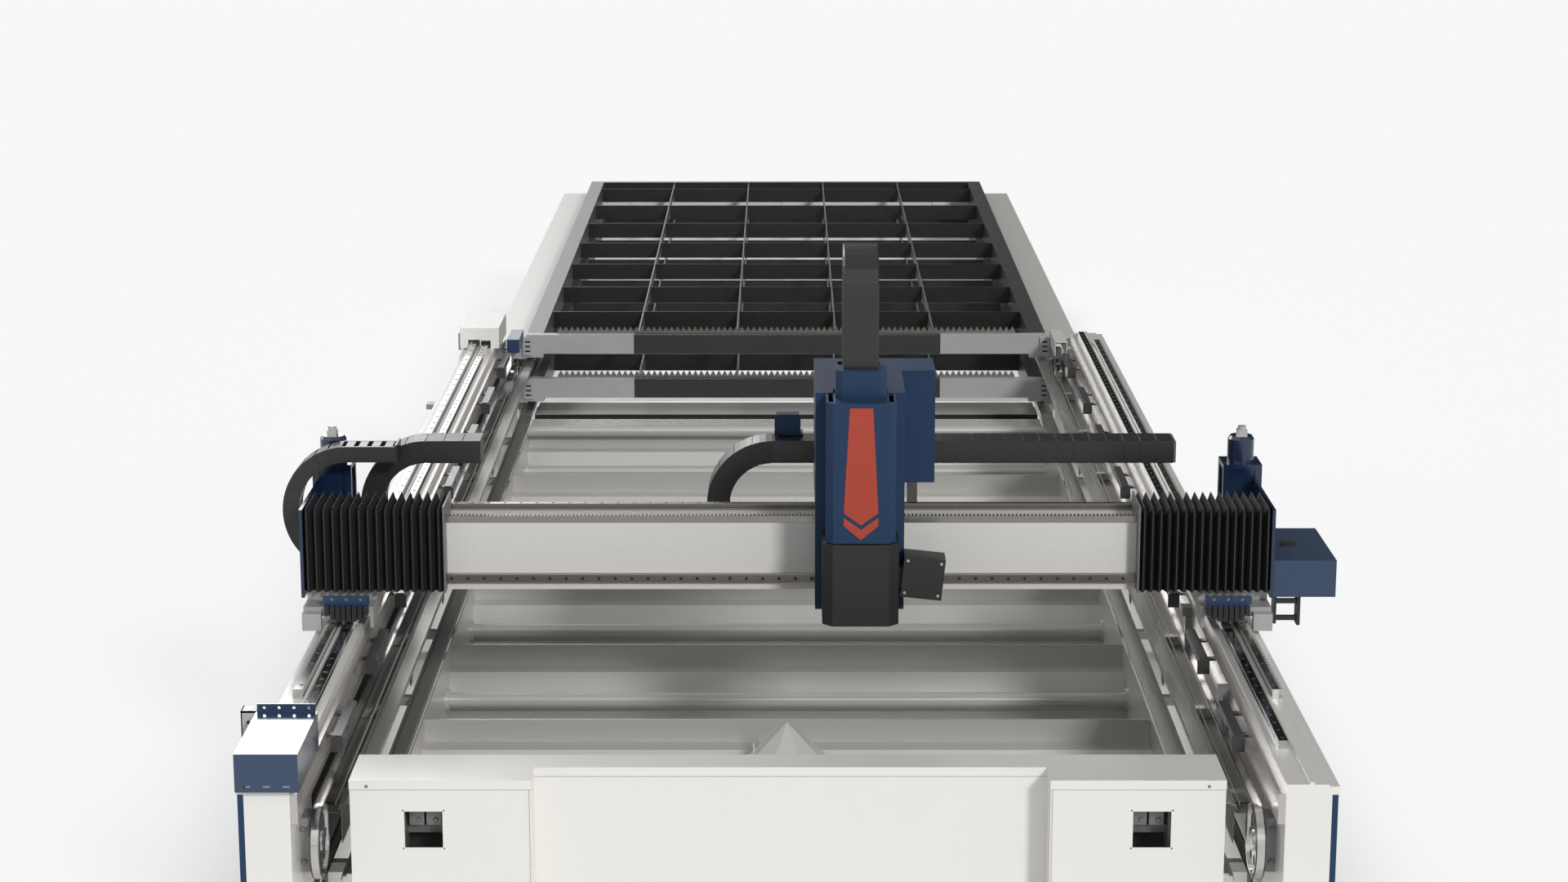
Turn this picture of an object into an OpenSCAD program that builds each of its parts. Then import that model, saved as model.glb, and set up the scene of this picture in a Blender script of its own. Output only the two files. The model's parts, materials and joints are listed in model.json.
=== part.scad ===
// Large flat-bed laser cutting machine with a twin-pallet exchange table.
// Millimetres. +X to the right seen from the operator's end, +Y along the machine
// towards the exchange table, +Z up. The origin is on the floor, at the centre of
// the four outermost anchor holes. Modules draw in machine coordinates: y counts
// from the near end of the side beams, and placed() moves them to the origin.

/* [Bed] */
// Height of the side beams' rail seat above the floor
beam_top = 950; // [900:10:1050]
// Length of the side beams
beam_len = 7466; // [7300:10:7800]
// Room from a pallet's edge to the Y rail's centre line, for the belt and its guides
side_room = 185; // [180:1:220]
// Width of each side beam's box
beam_w = 144; // [130:2:170]
// Plate thickness of the side beams
beam_wall = 14; // [8:1:20]
// Height of the bed's feet
foot_h = 120; // [100:5:140]
// Width of the linear rails
rail_w = 34; // [28:1:40]
// Height of the linear rails
rail_h = 28; // [24:1:34]
// Module of the racks and pinions
gear_m = 6; // [4:1:8]
// Teeth on each drive pinion
pinion_z = 17; // [17:1:20]
// Diameter of the anchor holes in the feet
anchor_d = 22; // [16:1:28]

/* [Pallets] */
// Width of each pallet
pallet_w = 2830; // [2500:10:3170]
// Length of each pallet
pallet_len = 5920; // [5600:10:6000]
// Height between the two pallet levels
level_gap = 245; // [240:1:260]
// Depth of a pallet's side tubes
pallet_h = 125; // [110:1:130]
// Number of cross plates that carry the slats
cross_plates = 7; // [5:1:8]
// Number of teeth on a serrated slat
slat_teeth = 78; // [40:1:90]
// Diameter of a pallet wheel
wheel_d = 90; // [70:2:96]
// Diameter of the belt wheels
belt_wheel_d = 240; // [200:2:244]
// Width of the pallet drive belts
belt_w = 33; // [24:1:36]

/* [Gantry] */
// Place of the crossbeam's front face from the near end of the beams
gantry_y = 1804; // [1700:10:2600]
// Height of the crossbeam above the rail seat
cross_z = 129; // [120:1:160]
// Height of the crossbeam's section
cross_h = 251; // [230:1:280]
// Depth of the crossbeam's section
cross_d = 250; // [220:5:260]
// Clear length of crossbeam left of the centre line, up to the bellows
open_left = 1247; // [1150:1:1280]
// Clear length of crossbeam right of the centre line, up to the bellows
open_right = 1278; // [1150:1:1290]
// Number of pleats on each bellows
pleats = 16; // [10:1:20]
// Depth of a bellows pleat
pleat_d = 40; // [25:1:40]
// Size of the drive motors' square body
motor_w = 146; // [120:2:150]

/* [Cutting head] */
// Place of the head right of the centre line
head_x = 260; // [-600:10:800]
// Width of the head's housing
head_w = 320; // [300:5:340]
// Height of the head's housing
head_h = 799; // [760:1:820]
// Width of the octagonal front cover
cover_w = 248; // [220:2:260]
// Width of the black lower cover
lower_w = 272; // [250:2:290]
// Height of the nozzle tip above the rail seat
nozzle_z = 78; // [70:1:100]

/* [Cable chains] */
// Height of a cable chain's links
chain_h = 86; // [70:2:90]
// Width of a cable chain
chain_w = 140; // [120:2:140]
// Bend radius of a cable chain on its centre line
chain_r = 207; // [190:1:230]
// Pitch of a chain's links
link_p = 62; // [50:1:80]

/* [Covers] */
// Depth of the front cover
cover_d = 257; // [220:1:262]
// Side of the square windows in the front cover
window_s = 122; // [100:1:126]
// Spacing of the screws beside a window, across
screw_sx = 131; // [129:1:140]
// Spacing of the screws above and below a window
screw_sz = 128; // [128:1:140]
// Thickness of the folded sheet metal
sheet = 4; // [2:0.5:5]

/* [Hidden] */
$fn = 48;
gap = 0.3;
slack = 4;
// Root gap between pieces that are welded or bolted side by side
seam = 0.2;

// Side beams
rail_x = pallet_w / 2 + side_room;
beam_in = rail_x - 44;
beam_out = beam_in + beam_w;
flange_w = 23;
flange_t = 27;
flange_drop = 6;
seat_step = 8;
cavity_top = 34;
bar_t = 24;
bar_top = beam_top - 30;
bar_h = 100;

// Racks and pinions: the teeth point outwards and the pinion stands outboard
rack_in = rail_x + 45;
rack_back = 22;
rack_h = 34;
pitch_x = rack_in + rack_back + gear_m * 1.25;
pinion_r = gear_m * pinion_z / 2;
mesh_gap = 0.4;
pinion_x = pitch_x + pinion_r + mesh_gap;
tooth_p = PI * gear_m;
rack_start = 880;
rack_pieces = 6;
rack_teeth = floor((beam_len - 320 - rack_start) / tooth_p / rack_pieces);
rack_joint = 0.2;
rail_start = 350;
rail_end = beam_len - 110;

// The pinion axis stands level with the middle of a rack tooth gap
motor_y = rack_start + tooth_p * round((gantry_y + 500 - rack_start) / tooth_p);

// Pallets and their tracks
pallet_y = beam_len - 62;
pallet_half = pallet_w / 2;
tube_w = 90;
front_h = 104;
pallet_t = 4;
axle_r = 12;
axle_gap = 0.1;
slat_tip = 36;
slat_t = 3;
bar_p = pallet_w * 0.191;
wheel_w = 26;
wheel_in = pallet_half + 4;
wheel_z = pallet_h + 40;
axle_front = 420;
axle_rear = pallet_len - 420;
track_drop = wheel_z + wheel_d / 2 + gap;
track_in = pallet_half - 15;
track_t = 4;
track_step = 8;
track_out = track_in + 70;
bracket_drop = track_step + track_t;

// Pallet belts: one loop each side, between the tracks and the side beams
belt_t = 4;
belt_in = pallet_half + 66;
belt_y0 = 209;
belt_y1 = beam_len + 134;
belt_zc = beam_top - pallet_h - 10 - belt_wheel_d / 2 - belt_t;
hub_r = 22;

// Front cover and windows
cover_y = 214;
cover_half = pallet_half - 15;
cover_top = beam_top - 60;
cover_bottom = 130;
recess_left = cover_half - 580;
recess_right = cover_half - 560;
recess_d = 130;
window_x = cover_half - 234;
window_z = beam_top - 226;
screw_r = 3;
lid_h = 31;

// Bed cross members and hoppers
member = 120;
member_ys = [for (i = [0:4]) 620 + i * (beam_len - 1240) / 4 - member / 2];
hopper_half = track_in - 14;
hopper_top = beam_top - level_gap - track_drop - 14;
hopper_y0 = 500;
hopper_y1 = beam_len - 260;
divider_p = 1000;
divider_y0 = 1074;
divider_n = floor((hopper_y1 - divider_y0 - 60) / divider_p);
pan_z = foot_h + member;
divider_flange = 100;
divider_up = 95;
divider_z = hopper_top - divider_up - 6;

// Exchange table
table_y0 = beam_len + 30;
table_y1 = pallet_y + pallet_len + 20;
table_top = beam_top - 90;
post = 100;
post_x = pallet_half + 85;
panel_in = pallet_half + 15;
panel_out = rail_x + 17;
post_ys = [for (i = [0:3]) table_y0 + 240 + i * (table_y1 - table_y0 - 440) / 3];

// Anchors: the four outermost feet set the origin
anchor_x = rail_x + 60;
foot_near = 250;
foot_far = post_ys[3] + post / 2;
origin_y = (foot_near + foot_far) / 2;

// Gantry
cross_top = beam_top + cross_z + cross_h;
cross_bot = beam_top + cross_z;
cross_half = rail_x + 165;
cross_wall = 12;
plate_t = 12;
block_h = 47;
block_w = 56;
block_len = 130;
block_lift = 8;
carriage_z = beam_top + block_lift + block_h;
carriage_h = 35;
carriage_y0 = gantry_y - 104;
carriage_y1 = motor_y + 110;
x_rail_w = 30;
x_rail_h = 25;
front_rail_z = beam_top + 176;
top_rail_y = gantry_y + 205;
x_rack_y = gantry_y + 6;
x_rack_w = 30;
x_rack_h = 26;
bellows_front = gantry_y - 70;
bellows_top = cross_top + 74;
bellows_back = gantry_y + 176;
bellows_low = cross_bot + 6;
bellows_wall = 3;

// Motors
reducer_h = 104;
motor_z = carriage_z + carriage_h + reducer_h;
motor_top = beam_top + 595;

// Cable chains run behind the crossbeam, in one vertical plane
chain_y = motor_y + motor_w / 2 - chain_w + 12;
chain_front = gantry_y + cross_d + 196;
chain_up = beam_top + 542;
chain_bend_x = -55;
chain_bend_z = chain_up - chain_r;
chain_low = chain_up - 2 * chain_r;
chain_fixed_x = rail_x - 136;
duct_bend_x = 230 - rail_x;
duct_end_x = duct_bend_x + 209;
side_plate = 9;
link_gap = 3;
link_step = 3;
chain_move_x = head_x + 390;

// Head
housing_y = gantry_y - 200;
housing_z = beam_top + 110;
saddle_t = 24;
housing_back = gantry_y - x_rail_h - 22 - saddle_t;
z_rail_y = housing_back - 32;
head_back = gantry_y + 425;
rear_z = cross_top + x_rail_h + 22 + saddle_t;
cover_front = gantry_y - 380;
cover_back = housing_y - 8;
cover_z0 = beam_top + 401;
cover_z1 = beam_top + 908;
lower_z0 = beam_top + 100;
lower_z1 = cover_z0 - 2;
optics_r = 44;
z_arch_w = 125;
z_cap_h = 99;
z_arch_h = 62;
z_arch_top = beam_top + 1430;
z_arch_y0 = cover_front + 155;
z_arch_y1 = z_arch_y0 + 2 * 130;

module placed() {
    translate([0, -origin_y, 0]) children();
}

// A box from its lowest to its highest corner
module block(a, b) {
    translate(a) cube([b[0] - a[0], b[1] - a[1], b[2] - a[2]]);
}

// What stands on the right, repeated on the left
module both_sides() {
    children();
    mirror([1, 0, 0]) children();
}

// A profile in x and z, extruded along y from y0 to y1
module along_y(y0, y1) {
    translate([0, y1, 0]) rotate([90, 0, 0]) linear_extrude(y1 - y0) children();
}

// A profile in y and z, extruded along x from x0 to x1
module along_x(x0, x1) {
    translate([x0, 0, 0]) rotate([90, 0, 90]) linear_extrude(x1 - x0) children();
}

// A round bar along x, centred on y and z
module bar_x(x0, x1, y, z, r) {
    translate([x0, y, z]) rotate([0, 90, 0]) cylinder(h = x1 - x0, r = r);
}

// A round bar along y, centred on x and z
module bar_y(y0, y1, x, z, r) {
    translate([x, y0, z]) rotate([-90, 0, 0]) cylinder(h = y1 - y0, r = r);
}

// A folded sheet: thick line through the points, drawn as one outline
module folded(points, t) {
    n = len(points);
    // Unit normal of each leg, and the mitred offset of each corner
    normals = [for (i = [0:n - 2]) let (d = points[i + 1] - points[i]) [-d[1], d[0]] / norm(d)];
    inner = [for (i = [0:n - 1])
        let (a = normals[max(i - 1, 0)], b = normals[min(i, n - 2)], m = a + b)
        points[i] + m * (2 * t / (m * m))];
    polygon(concat(points, [for (i = [n - 1:-1:0]) inner[i]]));
}

// Linear rail section with its waist, standing on z = 0, and grown by c for a runner's bore
module rail_section(w, h, c = 0) {
    half = w / 2 + c;
    waist = w * 0.34 + c;
    right = [
        [half, 0], [half, h * 0.3 + c], [waist, h * 0.45 + c], [waist, h * 0.6 - c],
        [half, h * 0.75 - c], [half, h - 2 + c / 2], [half - 2, h + c]
    ];
    polygon(concat(right, [for (i = [len(right) - 1:-1:0]) [-right[i][0], right[i][1]]]));
}

// Runner block section that straddles a rail, with running clearance all round
module runner_section(w, h, lift) {
    difference() {
        translate([-w / 2, lift]) square([w, h]);
        rail_section(rail_w, rail_h, gap);
    }
}

// Bed

module beam_section() {
    b = foot_h;
    polygon([
        [beam_in, b], [beam_out, b], [beam_out, beam_top - flange_t - flange_drop],
        [beam_out + flange_w, beam_top - flange_t - flange_drop],
        [beam_out + flange_w, beam_top - flange_drop], [rack_in + 45, beam_top - flange_drop],
        [rack_in + 45, beam_top], [rack_in - 3, beam_top], [rack_in - 3, beam_top + seat_step],
        [rack_in - 15, beam_top + seat_step], [rack_in - 15, beam_top], [beam_in, beam_top]
    ]);
}

module side_beam() {
    difference() {
        along_y(0, beam_len) beam_section();
        block(
            [beam_in + beam_wall, beam_wall, foot_h + beam_wall],
            [beam_out - beam_wall, beam_len - beam_wall, beam_top - cavity_top]
        );
        // Round access holes in the inner wall, below the belt
        for (i = [0:5])
            bar_x(beam_in - 1, beam_in + beam_wall + 1, 650 + i * (beam_len - 1300) / 5, foot_h + 250, 70);
    }
}

module left_side_beam() {
    color("ivory") placed() mirror([1, 0, 0]) side_beam();
}

module right_side_beam() {
    color("ivory") placed() side_beam();
}

module side_bars() {
    color("gray") placed() both_sides()
        block([beam_in - bar_t, 0, bar_top - bar_h], [beam_in, beam_len, bar_top]);
}

module y_rails() {
    color("silver") placed() both_sides()
        along_y(rail_start, rail_end) translate([rail_x, beam_top]) rail_section(rail_w, rail_h);
}

// Rack outline in x and y: trapezoid teeth with 20 degree flanks
module rack_outline(count) {
    tan20 = tan(20);
    top = tooth_p / 4 - gear_m * tan20;
    root = tooth_p / 4 + gear_m * 1.25 * tan20;
    polygon(concat(
        [[-rack_back - gear_m * 1.25, 0]],
        [for (i = [0:count - 1]) each [
            [-gear_m * 1.25, tooth_p * (i + 0.5) - root], [gear_m, tooth_p * (i + 0.5) - top],
            [gear_m, tooth_p * (i + 0.5) + top], [-gear_m * 1.25, tooth_p * (i + 0.5) + root]]],
        [
            [-gear_m * 1.25, tooth_p * count - rack_joint],
            [-rack_back - gear_m * 1.25, tooth_p * count - rack_joint]
        ]
    ));
}

module y_racks() {
    color("dimgray") placed() both_sides() for (i = [0:rack_pieces - 1])
        translate([pitch_x, rack_start + i * rack_teeth * tooth_p, beam_top])
            linear_extrude(rack_h) rack_outline(rack_teeth);
}

// Involute pinion with 20 degree teeth, one tooth pointing inwards at the rack
module pinion() {
    root_r = pinion_r - gear_m * 1.25;
    base_r = pinion_r * cos(20);
    tip_r = pinion_r + gear_m;
    play = 0.05;
    function inv(a) = tan(a) * 180 / PI - a;
    // Half the tooth's angle at radius r
    function half_tooth(r) = 90 / pinion_z * (1 - play) + inv(20) - inv(acos(base_r / r));
    flank = [for (k = [0:3]) base_r + (tip_r - base_r) * k / 3];
    linear_extrude(rack_h - 4) polygon([for (i = [0:pinion_z - 1])
        let (a = 180 + i * 360 / pinion_z) each concat(
        [root_r * [cos(a - half_tooth(base_r)), sin(a - half_tooth(base_r))]],
        [for (r = flank) r * [cos(a - half_tooth(r)), sin(a - half_tooth(r))]],
        [for (k = [3:-1:0]) let (r = flank[k]) r * [cos(a + half_tooth(r)), sin(a + half_tooth(r))]],
        [root_r * [cos(a + half_tooth(base_r)), sin(a + half_tooth(base_r))]]
    )]);
    translate([0, 0, rack_h - 4]) cylinder(h = carriage_z + carriage_h - beam_top - rack_h - gap, r = 26);
}

module right_pinion() {
    color("silver") placed() translate([pinion_x, motor_y, beam_top + 4]) pinion();
}

module left_pinion() {
    color("silver") placed() mirror([1, 0, 0]) translate([pinion_x, motor_y, beam_top + 4]) pinion();
}

// Blue cover over the near left end of the beam, with its slotted back flange
module left_end_cover() {
    x0 = rail_x - 81;
    x1 = rail_x + 118;
    y0 = -46;
    y1 = 384;
    z1 = beam_top + 115;
    color("darkslateblue") placed() mirror([1, 0, 0]) {
        difference() {
            block([x0, y0, beam_top - 10], [x1, y1, z1]);
            block([x0 + sheet, y0 + sheet, beam_top - 11], [x1 - sheet, y1 + 1, z1 - sheet]);
            // The outer side is shorter where it stands on the beam's flange
            block([x1 - sheet - 1, 0, beam_top - 11], [x1 + 1, y1 + 1, beam_top - flange_drop]);
            for (i = [-1:1]) translate([(x0 + x1) / 2 + i * 62, y0 - 1, beam_top + 8])
                rotate([-90, 0, 0]) linear_extrude(sheet + 2) square([22, 6], center = true);
        }
        difference() {
            block([x0 + 6, y1 - sheet, z1], [x1 - 4, y1, z1 + 27]);
            for (i = [-1.5:1:1.5]) translate([(x0 + x1) / 2 + i * 48, y1 - sheet - 1, z1 + 14])
                rotate([-90, 0, 0]) cylinder(h = sheet + 2, r = 5);
        }
        // Feet of the cover on the beam
        block([rack_in + 46, y0 + sheet, beam_top - flange_drop], [x1 - sheet, y0 + 60, beam_top - 2]);
    }
}

// Cream cover over the far left end of the beam, notched for the rail and the rack
module far_left_cover() {
    x0 = rail_x - 71;
    x1 = rail_x + 136;
    y0 = beam_len - 436;
    z1 = beam_top + 110;
    color("ivory") placed() mirror([1, 0, 0]) {
        difference() {
            block([x0, y0, beam_top], [x1, beam_len, z1]);
            block([x0 + sheet, y0 + sheet, beam_top - 1], [x1 - sheet, beam_len - sheet, z1 - sheet]);
            block([rail_x - 26, y0 - 1, beam_top - 1], [rail_x + 26, y0 + sheet + 1, beam_top + 42]);
            block([rack_in - 14, y0 - 1, beam_top - 1], [rack_in + 48, y0 + sheet + 1, beam_top + 46]);
            block([rack_in - 16, y0 - 1, beam_top - 1],
                [rack_in - 2, beam_len + 1, beam_top + seat_step + gap]);
        }
        difference() {
            block([x1, y0 + 60, beam_top - 20], [x1 + 16, y0 + 120, beam_top + 70]);
            for (z = [5, 45]) bar_x(x1 - 1, x1 + 17, y0 + 90, beam_top + z, 8);
        }
    }
}

// Small hoods over the belts where they leave the bed
module belt_hoods() {
    z0 = beam_top - 60;
    x0 = belt_in - 43;
    x1 = belt_in + 22;
    far = beam_len + 28;
    wall = 3;
    color("steelblue") placed() mirror([1, 0, 0]) difference() {
        block([x0, far - 290, z0], [x1, far, z0 + 73]);
        block([x0 + wall, far - 290 + wall, z0 - 1], [x1 - wall, far - wall, z0 + 73 - wall]);
    }
    color("ivory") placed() difference() {
        block([x0, beam_len - 366, z0], [x1, beam_len, z0 + 80]);
        block([x0 + wall, beam_len - 367, z0 - 1], [x1 - wall, beam_len - wall, z0 + 80 - wall]);
    }
    // Arms that carry the hoods from the side bars
    color("gray") placed() both_sides()
        block([x1, beam_len - 200, z0 + 6], [beam_in - bar_t, beam_len - 140, z0 + 12]);
}

// Folded ledge on which the pallet wheels roll, stepped down beside them
module track_section(top) {
    folded([
        [track_in, top - 22], [track_in, top], [track_in + 48, top],
        [track_in + 54, top - track_step], [track_out - 4, top - track_step], [track_out, top - 26]
    ], -track_t);
}

module track_pair(y0, y1) {
    for (top = [beam_top - track_drop, beam_top - track_drop - level_gap])
        along_y(y0, y1) track_section(top);
}

module pallet_tracks() {
    color("lightgray") placed() both_sides() {
        track_pair(430, beam_len - 10);
        track_pair(beam_len, table_y1);
        // Brackets from the beam, under each ledge and between the belt's two runs
        for (i = [0:7], top = [beam_top - track_drop, beam_top - track_drop - level_gap])
            block(
                [track_in + 56, 560 + i * (beam_len - 1120) / 7, top - bracket_drop - 34],
                [beam_in, 600 + i * (beam_len - 1120) / 7, top - bracket_drop]
            );
        // Brackets from the exchange table's long tubes
        for (y = post_ys, top = [beam_top - track_drop, beam_top - track_drop - level_gap])
            block([track_in + 56, y + 60, top - bracket_drop - 34], [post_x, y + 110, top - bracket_drop]);
    }
}

// Dark blocks that keep the pallet's hook on the belt, each on an angle from the side bar
module belt_guides() {
    n = 8;
    len_y = 380;
    z0 = beam_top - 62;
    pitch = (beam_len - 1376) / (n - 1);
    color("dimgray") placed() both_sides() for (i = [0:n - 1]) translate([0, 584 + i * pitch, 0]) {
        difference() {
            block([belt_in - 6, 0, z0], [belt_in + 26, len_y, z0 + 30]);
            block([belt_in - 7, 120, z0 - 1], [belt_in + 10, 170, z0 + 12]);
        }
        // Angle bracket at the near end
        block([belt_in - 14, -6, z0 - 26], [belt_in + 30, 0, z0 + 26]);
        for (y = [60, 290]) block([belt_in + 26, y, z0 + 4], [beam_in - bar_t, y + 30, z0 + 12]);
    }
}

// Belt loop outline in y and z
module belt_outline(r) {
    for (y = [belt_y0, belt_y1]) translate([y, belt_zc]) circle(r = r);
    translate([belt_y0, belt_zc - r]) square([belt_y1 - belt_y0, 2 * r]);
}

module drive_belts() {
    r = belt_wheel_d / 2 + gap;
    color("silver") placed() both_sides() along_x(belt_in, belt_in + belt_w) difference() {
        belt_outline(r + belt_t);
        belt_outline(r);
    }
}

// Disc with a rim, six lightening holes and a stub shaft towards the beam
module belt_wheel(y) {
    r = belt_wheel_d / 2;
    difference() {
        union() {
            difference() {
                bar_x(belt_in + 2, belt_in + belt_w - 2, y, belt_zc, r);
                bar_x(belt_in, belt_in + 9, y, belt_zc, r - 16);
                bar_x(belt_in + belt_w - 9, belt_in + belt_w, y, belt_zc, r - 16);
            }
            bar_x(belt_in + 4, belt_in + belt_w - 4, y, belt_zc, 34);
        }
        for (a = [0:60:300])
            bar_x(belt_in, belt_in + belt_w, y + 66 * cos(a), belt_zc + 66 * sin(a), 19);
    }
    bar_x(belt_in + belt_w - 5, beam_in - 2, y, belt_zc, hub_r);
}

module idler_wheels() {
    color("silver") placed() both_sides() belt_wheel(belt_y0);
}

module drive_wheels() {
    color("silver") placed() both_sides() belt_wheel(belt_y1);
}

// Bearings of the belt wheels, and the limit switch brackets beside the rails
module bearing_blocks() {
    color("gray") placed() both_sides() {
        for (y = [belt_y0, belt_y1]) difference() {
            block([beam_in - 30, y - 46, belt_zc - 90], [beam_in, y + 46, belt_zc + 90]);
            bar_x(beam_in - 31, beam_in + 1, y, belt_zc, hub_r + gap);
        }
        // Carrier plate of the far bearing, on the beam's end
        block([beam_in, beam_len, belt_zc - 90], [beam_in + 12, belt_y1 + 46, belt_zc + 90]);
    }
    color("gray") placed() {
        for (y = [1090, 2110]) {
            block([beam_in - bar_t - 36, y, bar_top - 34], [beam_in - bar_t, y + 60, bar_top]);
            block([beam_in - bar_t - 22, y + 18, bar_top - 96], [beam_in - bar_t, y + 42, bar_top - 34]);
        }
        mirror([1, 0, 0]) block(
            [beam_out + flange_w, beam_len - 1816, beam_top - 33],
            [beam_out + flange_w + 40, beam_len - 1746, beam_top - 8]
        );
    }
}

// Gearmotors that turn the drive wheels, on the exchange table's long tubes
module belt_motors() {
    x0 = beam_in + 12;
    color("dimgray") placed() both_sides() {
        block([x0, belt_y1 - 60, belt_zc - 60], [x0 + 112, belt_y1 + 60, belt_zc + 60]);
        translate([x0 + 57, belt_y1, belt_zc - 60 - 230]) cylinder(h = 230, r = 55);
        translate([x0 + 57, belt_y1, belt_zc - 60 - 250]) cylinder(h = 20, r = 50);
    }
}

// Cream front cover: a folded box with a shallow recess, a lid and two square windows
module cover_plan(grow) {
    half = cover_half;
    polygon([
        [-half - grow, cover_y - grow], [-recess_left + grow, cover_y - grow],
        [-recess_left + grow, cover_y + recess_d - grow], [recess_right - grow, cover_y + recess_d - grow],
        [recess_right - grow, cover_y - grow], [half + grow, cover_y - grow],
        [half + grow, cover_y + cover_d], [-half - grow, cover_y + cover_d]
    ]);
}

module front_cover() {
    color("ivory") placed() difference() {
        union() {
            translate([0, 0, cover_bottom]) linear_extrude(cover_top - cover_bottom) cover_plan(0);
            translate([0, 0, cover_top - lid_h]) linear_extrude(lid_h) cover_plan(1.5);
        }
        translate([0, 0, cover_bottom - 1])
            linear_extrude(cover_top - cover_bottom + 1 - sheet) difference() {
            cover_plan(-sheet);
            translate([-2 * cover_half, cover_y + cover_d - sheet]) square([4 * cover_half, sheet + 1]);
        }
        for (s = [-1, 1]) translate([s * window_x, 0, window_z]) {
            block([-window_s / 2, cover_y - 5, -window_s / 2],
                [window_s / 2, cover_y + sheet + 5, window_s / 2]);
            for (i = [-1, 1], k = [-1, 1])
                bar_y(cover_y - 5, cover_y + sheet + 5, i * screw_sx / 2, k * screw_sz / 2, screw_r);
        }
    }
}

module cross_members() {
    color("ivory") placed() for (y = member_ys) difference() {
        block([-beam_in, y, foot_h], [beam_in, y + member, foot_h + member]);
        block([-beam_in - 1, y + 8, foot_h + 8], [beam_in + 1, y + member - 8, foot_h + member - 8]);
    }
    // Posts from the first member that carry the front cover
    color("ivory") placed() both_sides() {
        block(
            [window_x - 266, cover_y + cover_d, foot_h + 10],
            [window_x - 186, member_ys[0], foot_h + 90]
        );
        block(
            [window_x - 266, cover_y + cover_d, foot_h + 90],
            [window_x - 186, cover_y + cover_d + 12, cover_top - 150]
        );
    }
}

// Folded divider across the bed: upright edge, flange and sloping front sheet
module divider_section() {
    folded([
        [divider_flange / 2, divider_up], [divider_flange / 2, 0],
        [-divider_flange / 2, 0], [-divider_flange / 2 - 70, -113],
        [-divider_flange / 2 - 70, pan_z + 5 + seam - divider_z]
    ], -6);
}

module hopper_panels() {
    color("darkgray") placed() {
        side = hopper_half - seam;
        both_sides() block([hopper_half, hopper_y0, pan_z], [hopper_half + 6, hopper_y1, hopper_top]);
        block([-side, hopper_y0, pan_z], [side, hopper_y1, pan_z + 5]);
        for (i = [0:divider_n])
            along_x(-side, side) translate([divider_y0 + i * divider_p, divider_z]) divider_section();
        block([-side, hopper_y0, pan_z + 5 + seam], [side, hopper_y0 + 6, hopper_top]);
        block([-side, hopper_y1 - 6, pan_z + 5 + seam], [side, hopper_y1, hopper_top]);
        // Round tube across the far end, above the last sheet
        bar_x(-side, side, hopper_y1 - 130, hopper_top + 8, 30);
    }
}

// Blow pipes across the bays, and the duct riser with its octagonal cone cap
module extraction_duct() {
    cone_y = gantry_y;
    pipe_z = pan_z + 70;
    cap_z = beam_top - 541;
    color("gray") placed() {
        for (i = [0:divider_n]) {
            y = divider_y0 + i * divider_p - 190;
            bar_x(-hopper_half, hopper_half, y, pipe_z, 30);
            both_sides() bar_x(hopper_half - 14, hopper_half, y, pipe_z, 45);
        }
        // The cap's eight faces are cut from a block by one sloping cut for each face
        difference() {
            translate([0, cone_y, cap_z]) rotate([0, 0, 22.5]) cylinder(h = 162, r = 158, $fn = 8);
            for (a = [0:45:315]) translate([0, cone_y, cap_z + 12]) rotate([0, 0, a]) translate([146, 0, 0])
                rotate([0, -45, 0]) translate([0, -120, 0]) cube([240, 240, 240]);
        }
        translate([0, cone_y, pan_z + 5]) cylinder(h = cap_z - pan_z - 5, r = 70);
        block([-128, cone_y + 8, cap_z + 12], [-120, cone_y + 16, cap_z + 73]);
    }
}

// Foot plate with its jack screw, nut and anchor hole, under a beam or a post
module levelling_foot(x0, x1, screw_x, y, top) {
    difference() {
        block([x0, y - 80, 0], [x1, y + 80, 20]);
        translate([anchor_x, y, -1]) cylinder(h = 22, d = anchor_d);
    }
    translate([screw_x, y, 20]) cylinder(h = 24, r = 34);
    translate([screw_x, y, 44]) cylinder(h = top - 44, r = 18);
    translate([screw_x, y, top - 30]) cylinder(h = 18, r = 30, $fn = 6);
}

module levelling_feet() {
    color("dimgray") placed() both_sides() {
        for (i = [0:3])
            levelling_foot(
                beam_in, anchor_x + 40, beam_in + 44, foot_near + i * (beam_len - 2 * foot_near) / 3, foot_h
            );
        for (y = post_ys)
            levelling_foot(post_x, anchor_x + 30, post_x + post / 2, y + post / 2, foot_h);
    }
}

// Blue outer panels on the bed's long sides, in three lengths
module side_panels() {
    n = 3;
    part_len = beam_len / n;
    color("steelblue") placed() both_sides() for (i = [0:n - 1])
        block(
            [beam_out, i * part_len + 2, foot_h + 10],
            [beam_out + 10, (i + 1) * part_len - 2, beam_top - flange_t - flange_drop - 2]
        );
}

module exchange_frame() {
    long_z0 = table_top - 4 - 120;
    color("ivory") placed() {
        both_sides() {
            // The long top tubes start behind the belt wheels
            block([post_x, belt_y1 + belt_wheel_d / 2 + 12, long_z0],
                [post_x + post, table_y1, table_top - 4]);
            block([post_x, beam_len, foot_h], [post_x + post, table_y1, foot_h + 80]);
            for (y = post_ys)
                block([post_x, y, foot_h + 80 + seam], [post_x + post, y + post, long_z0 - seam]);
        }
        for (y = post_ys) block([-post_x + seam, y + 10, foot_h], [post_x - seam, y + 90, foot_h + 80]);
    }
}

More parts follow.
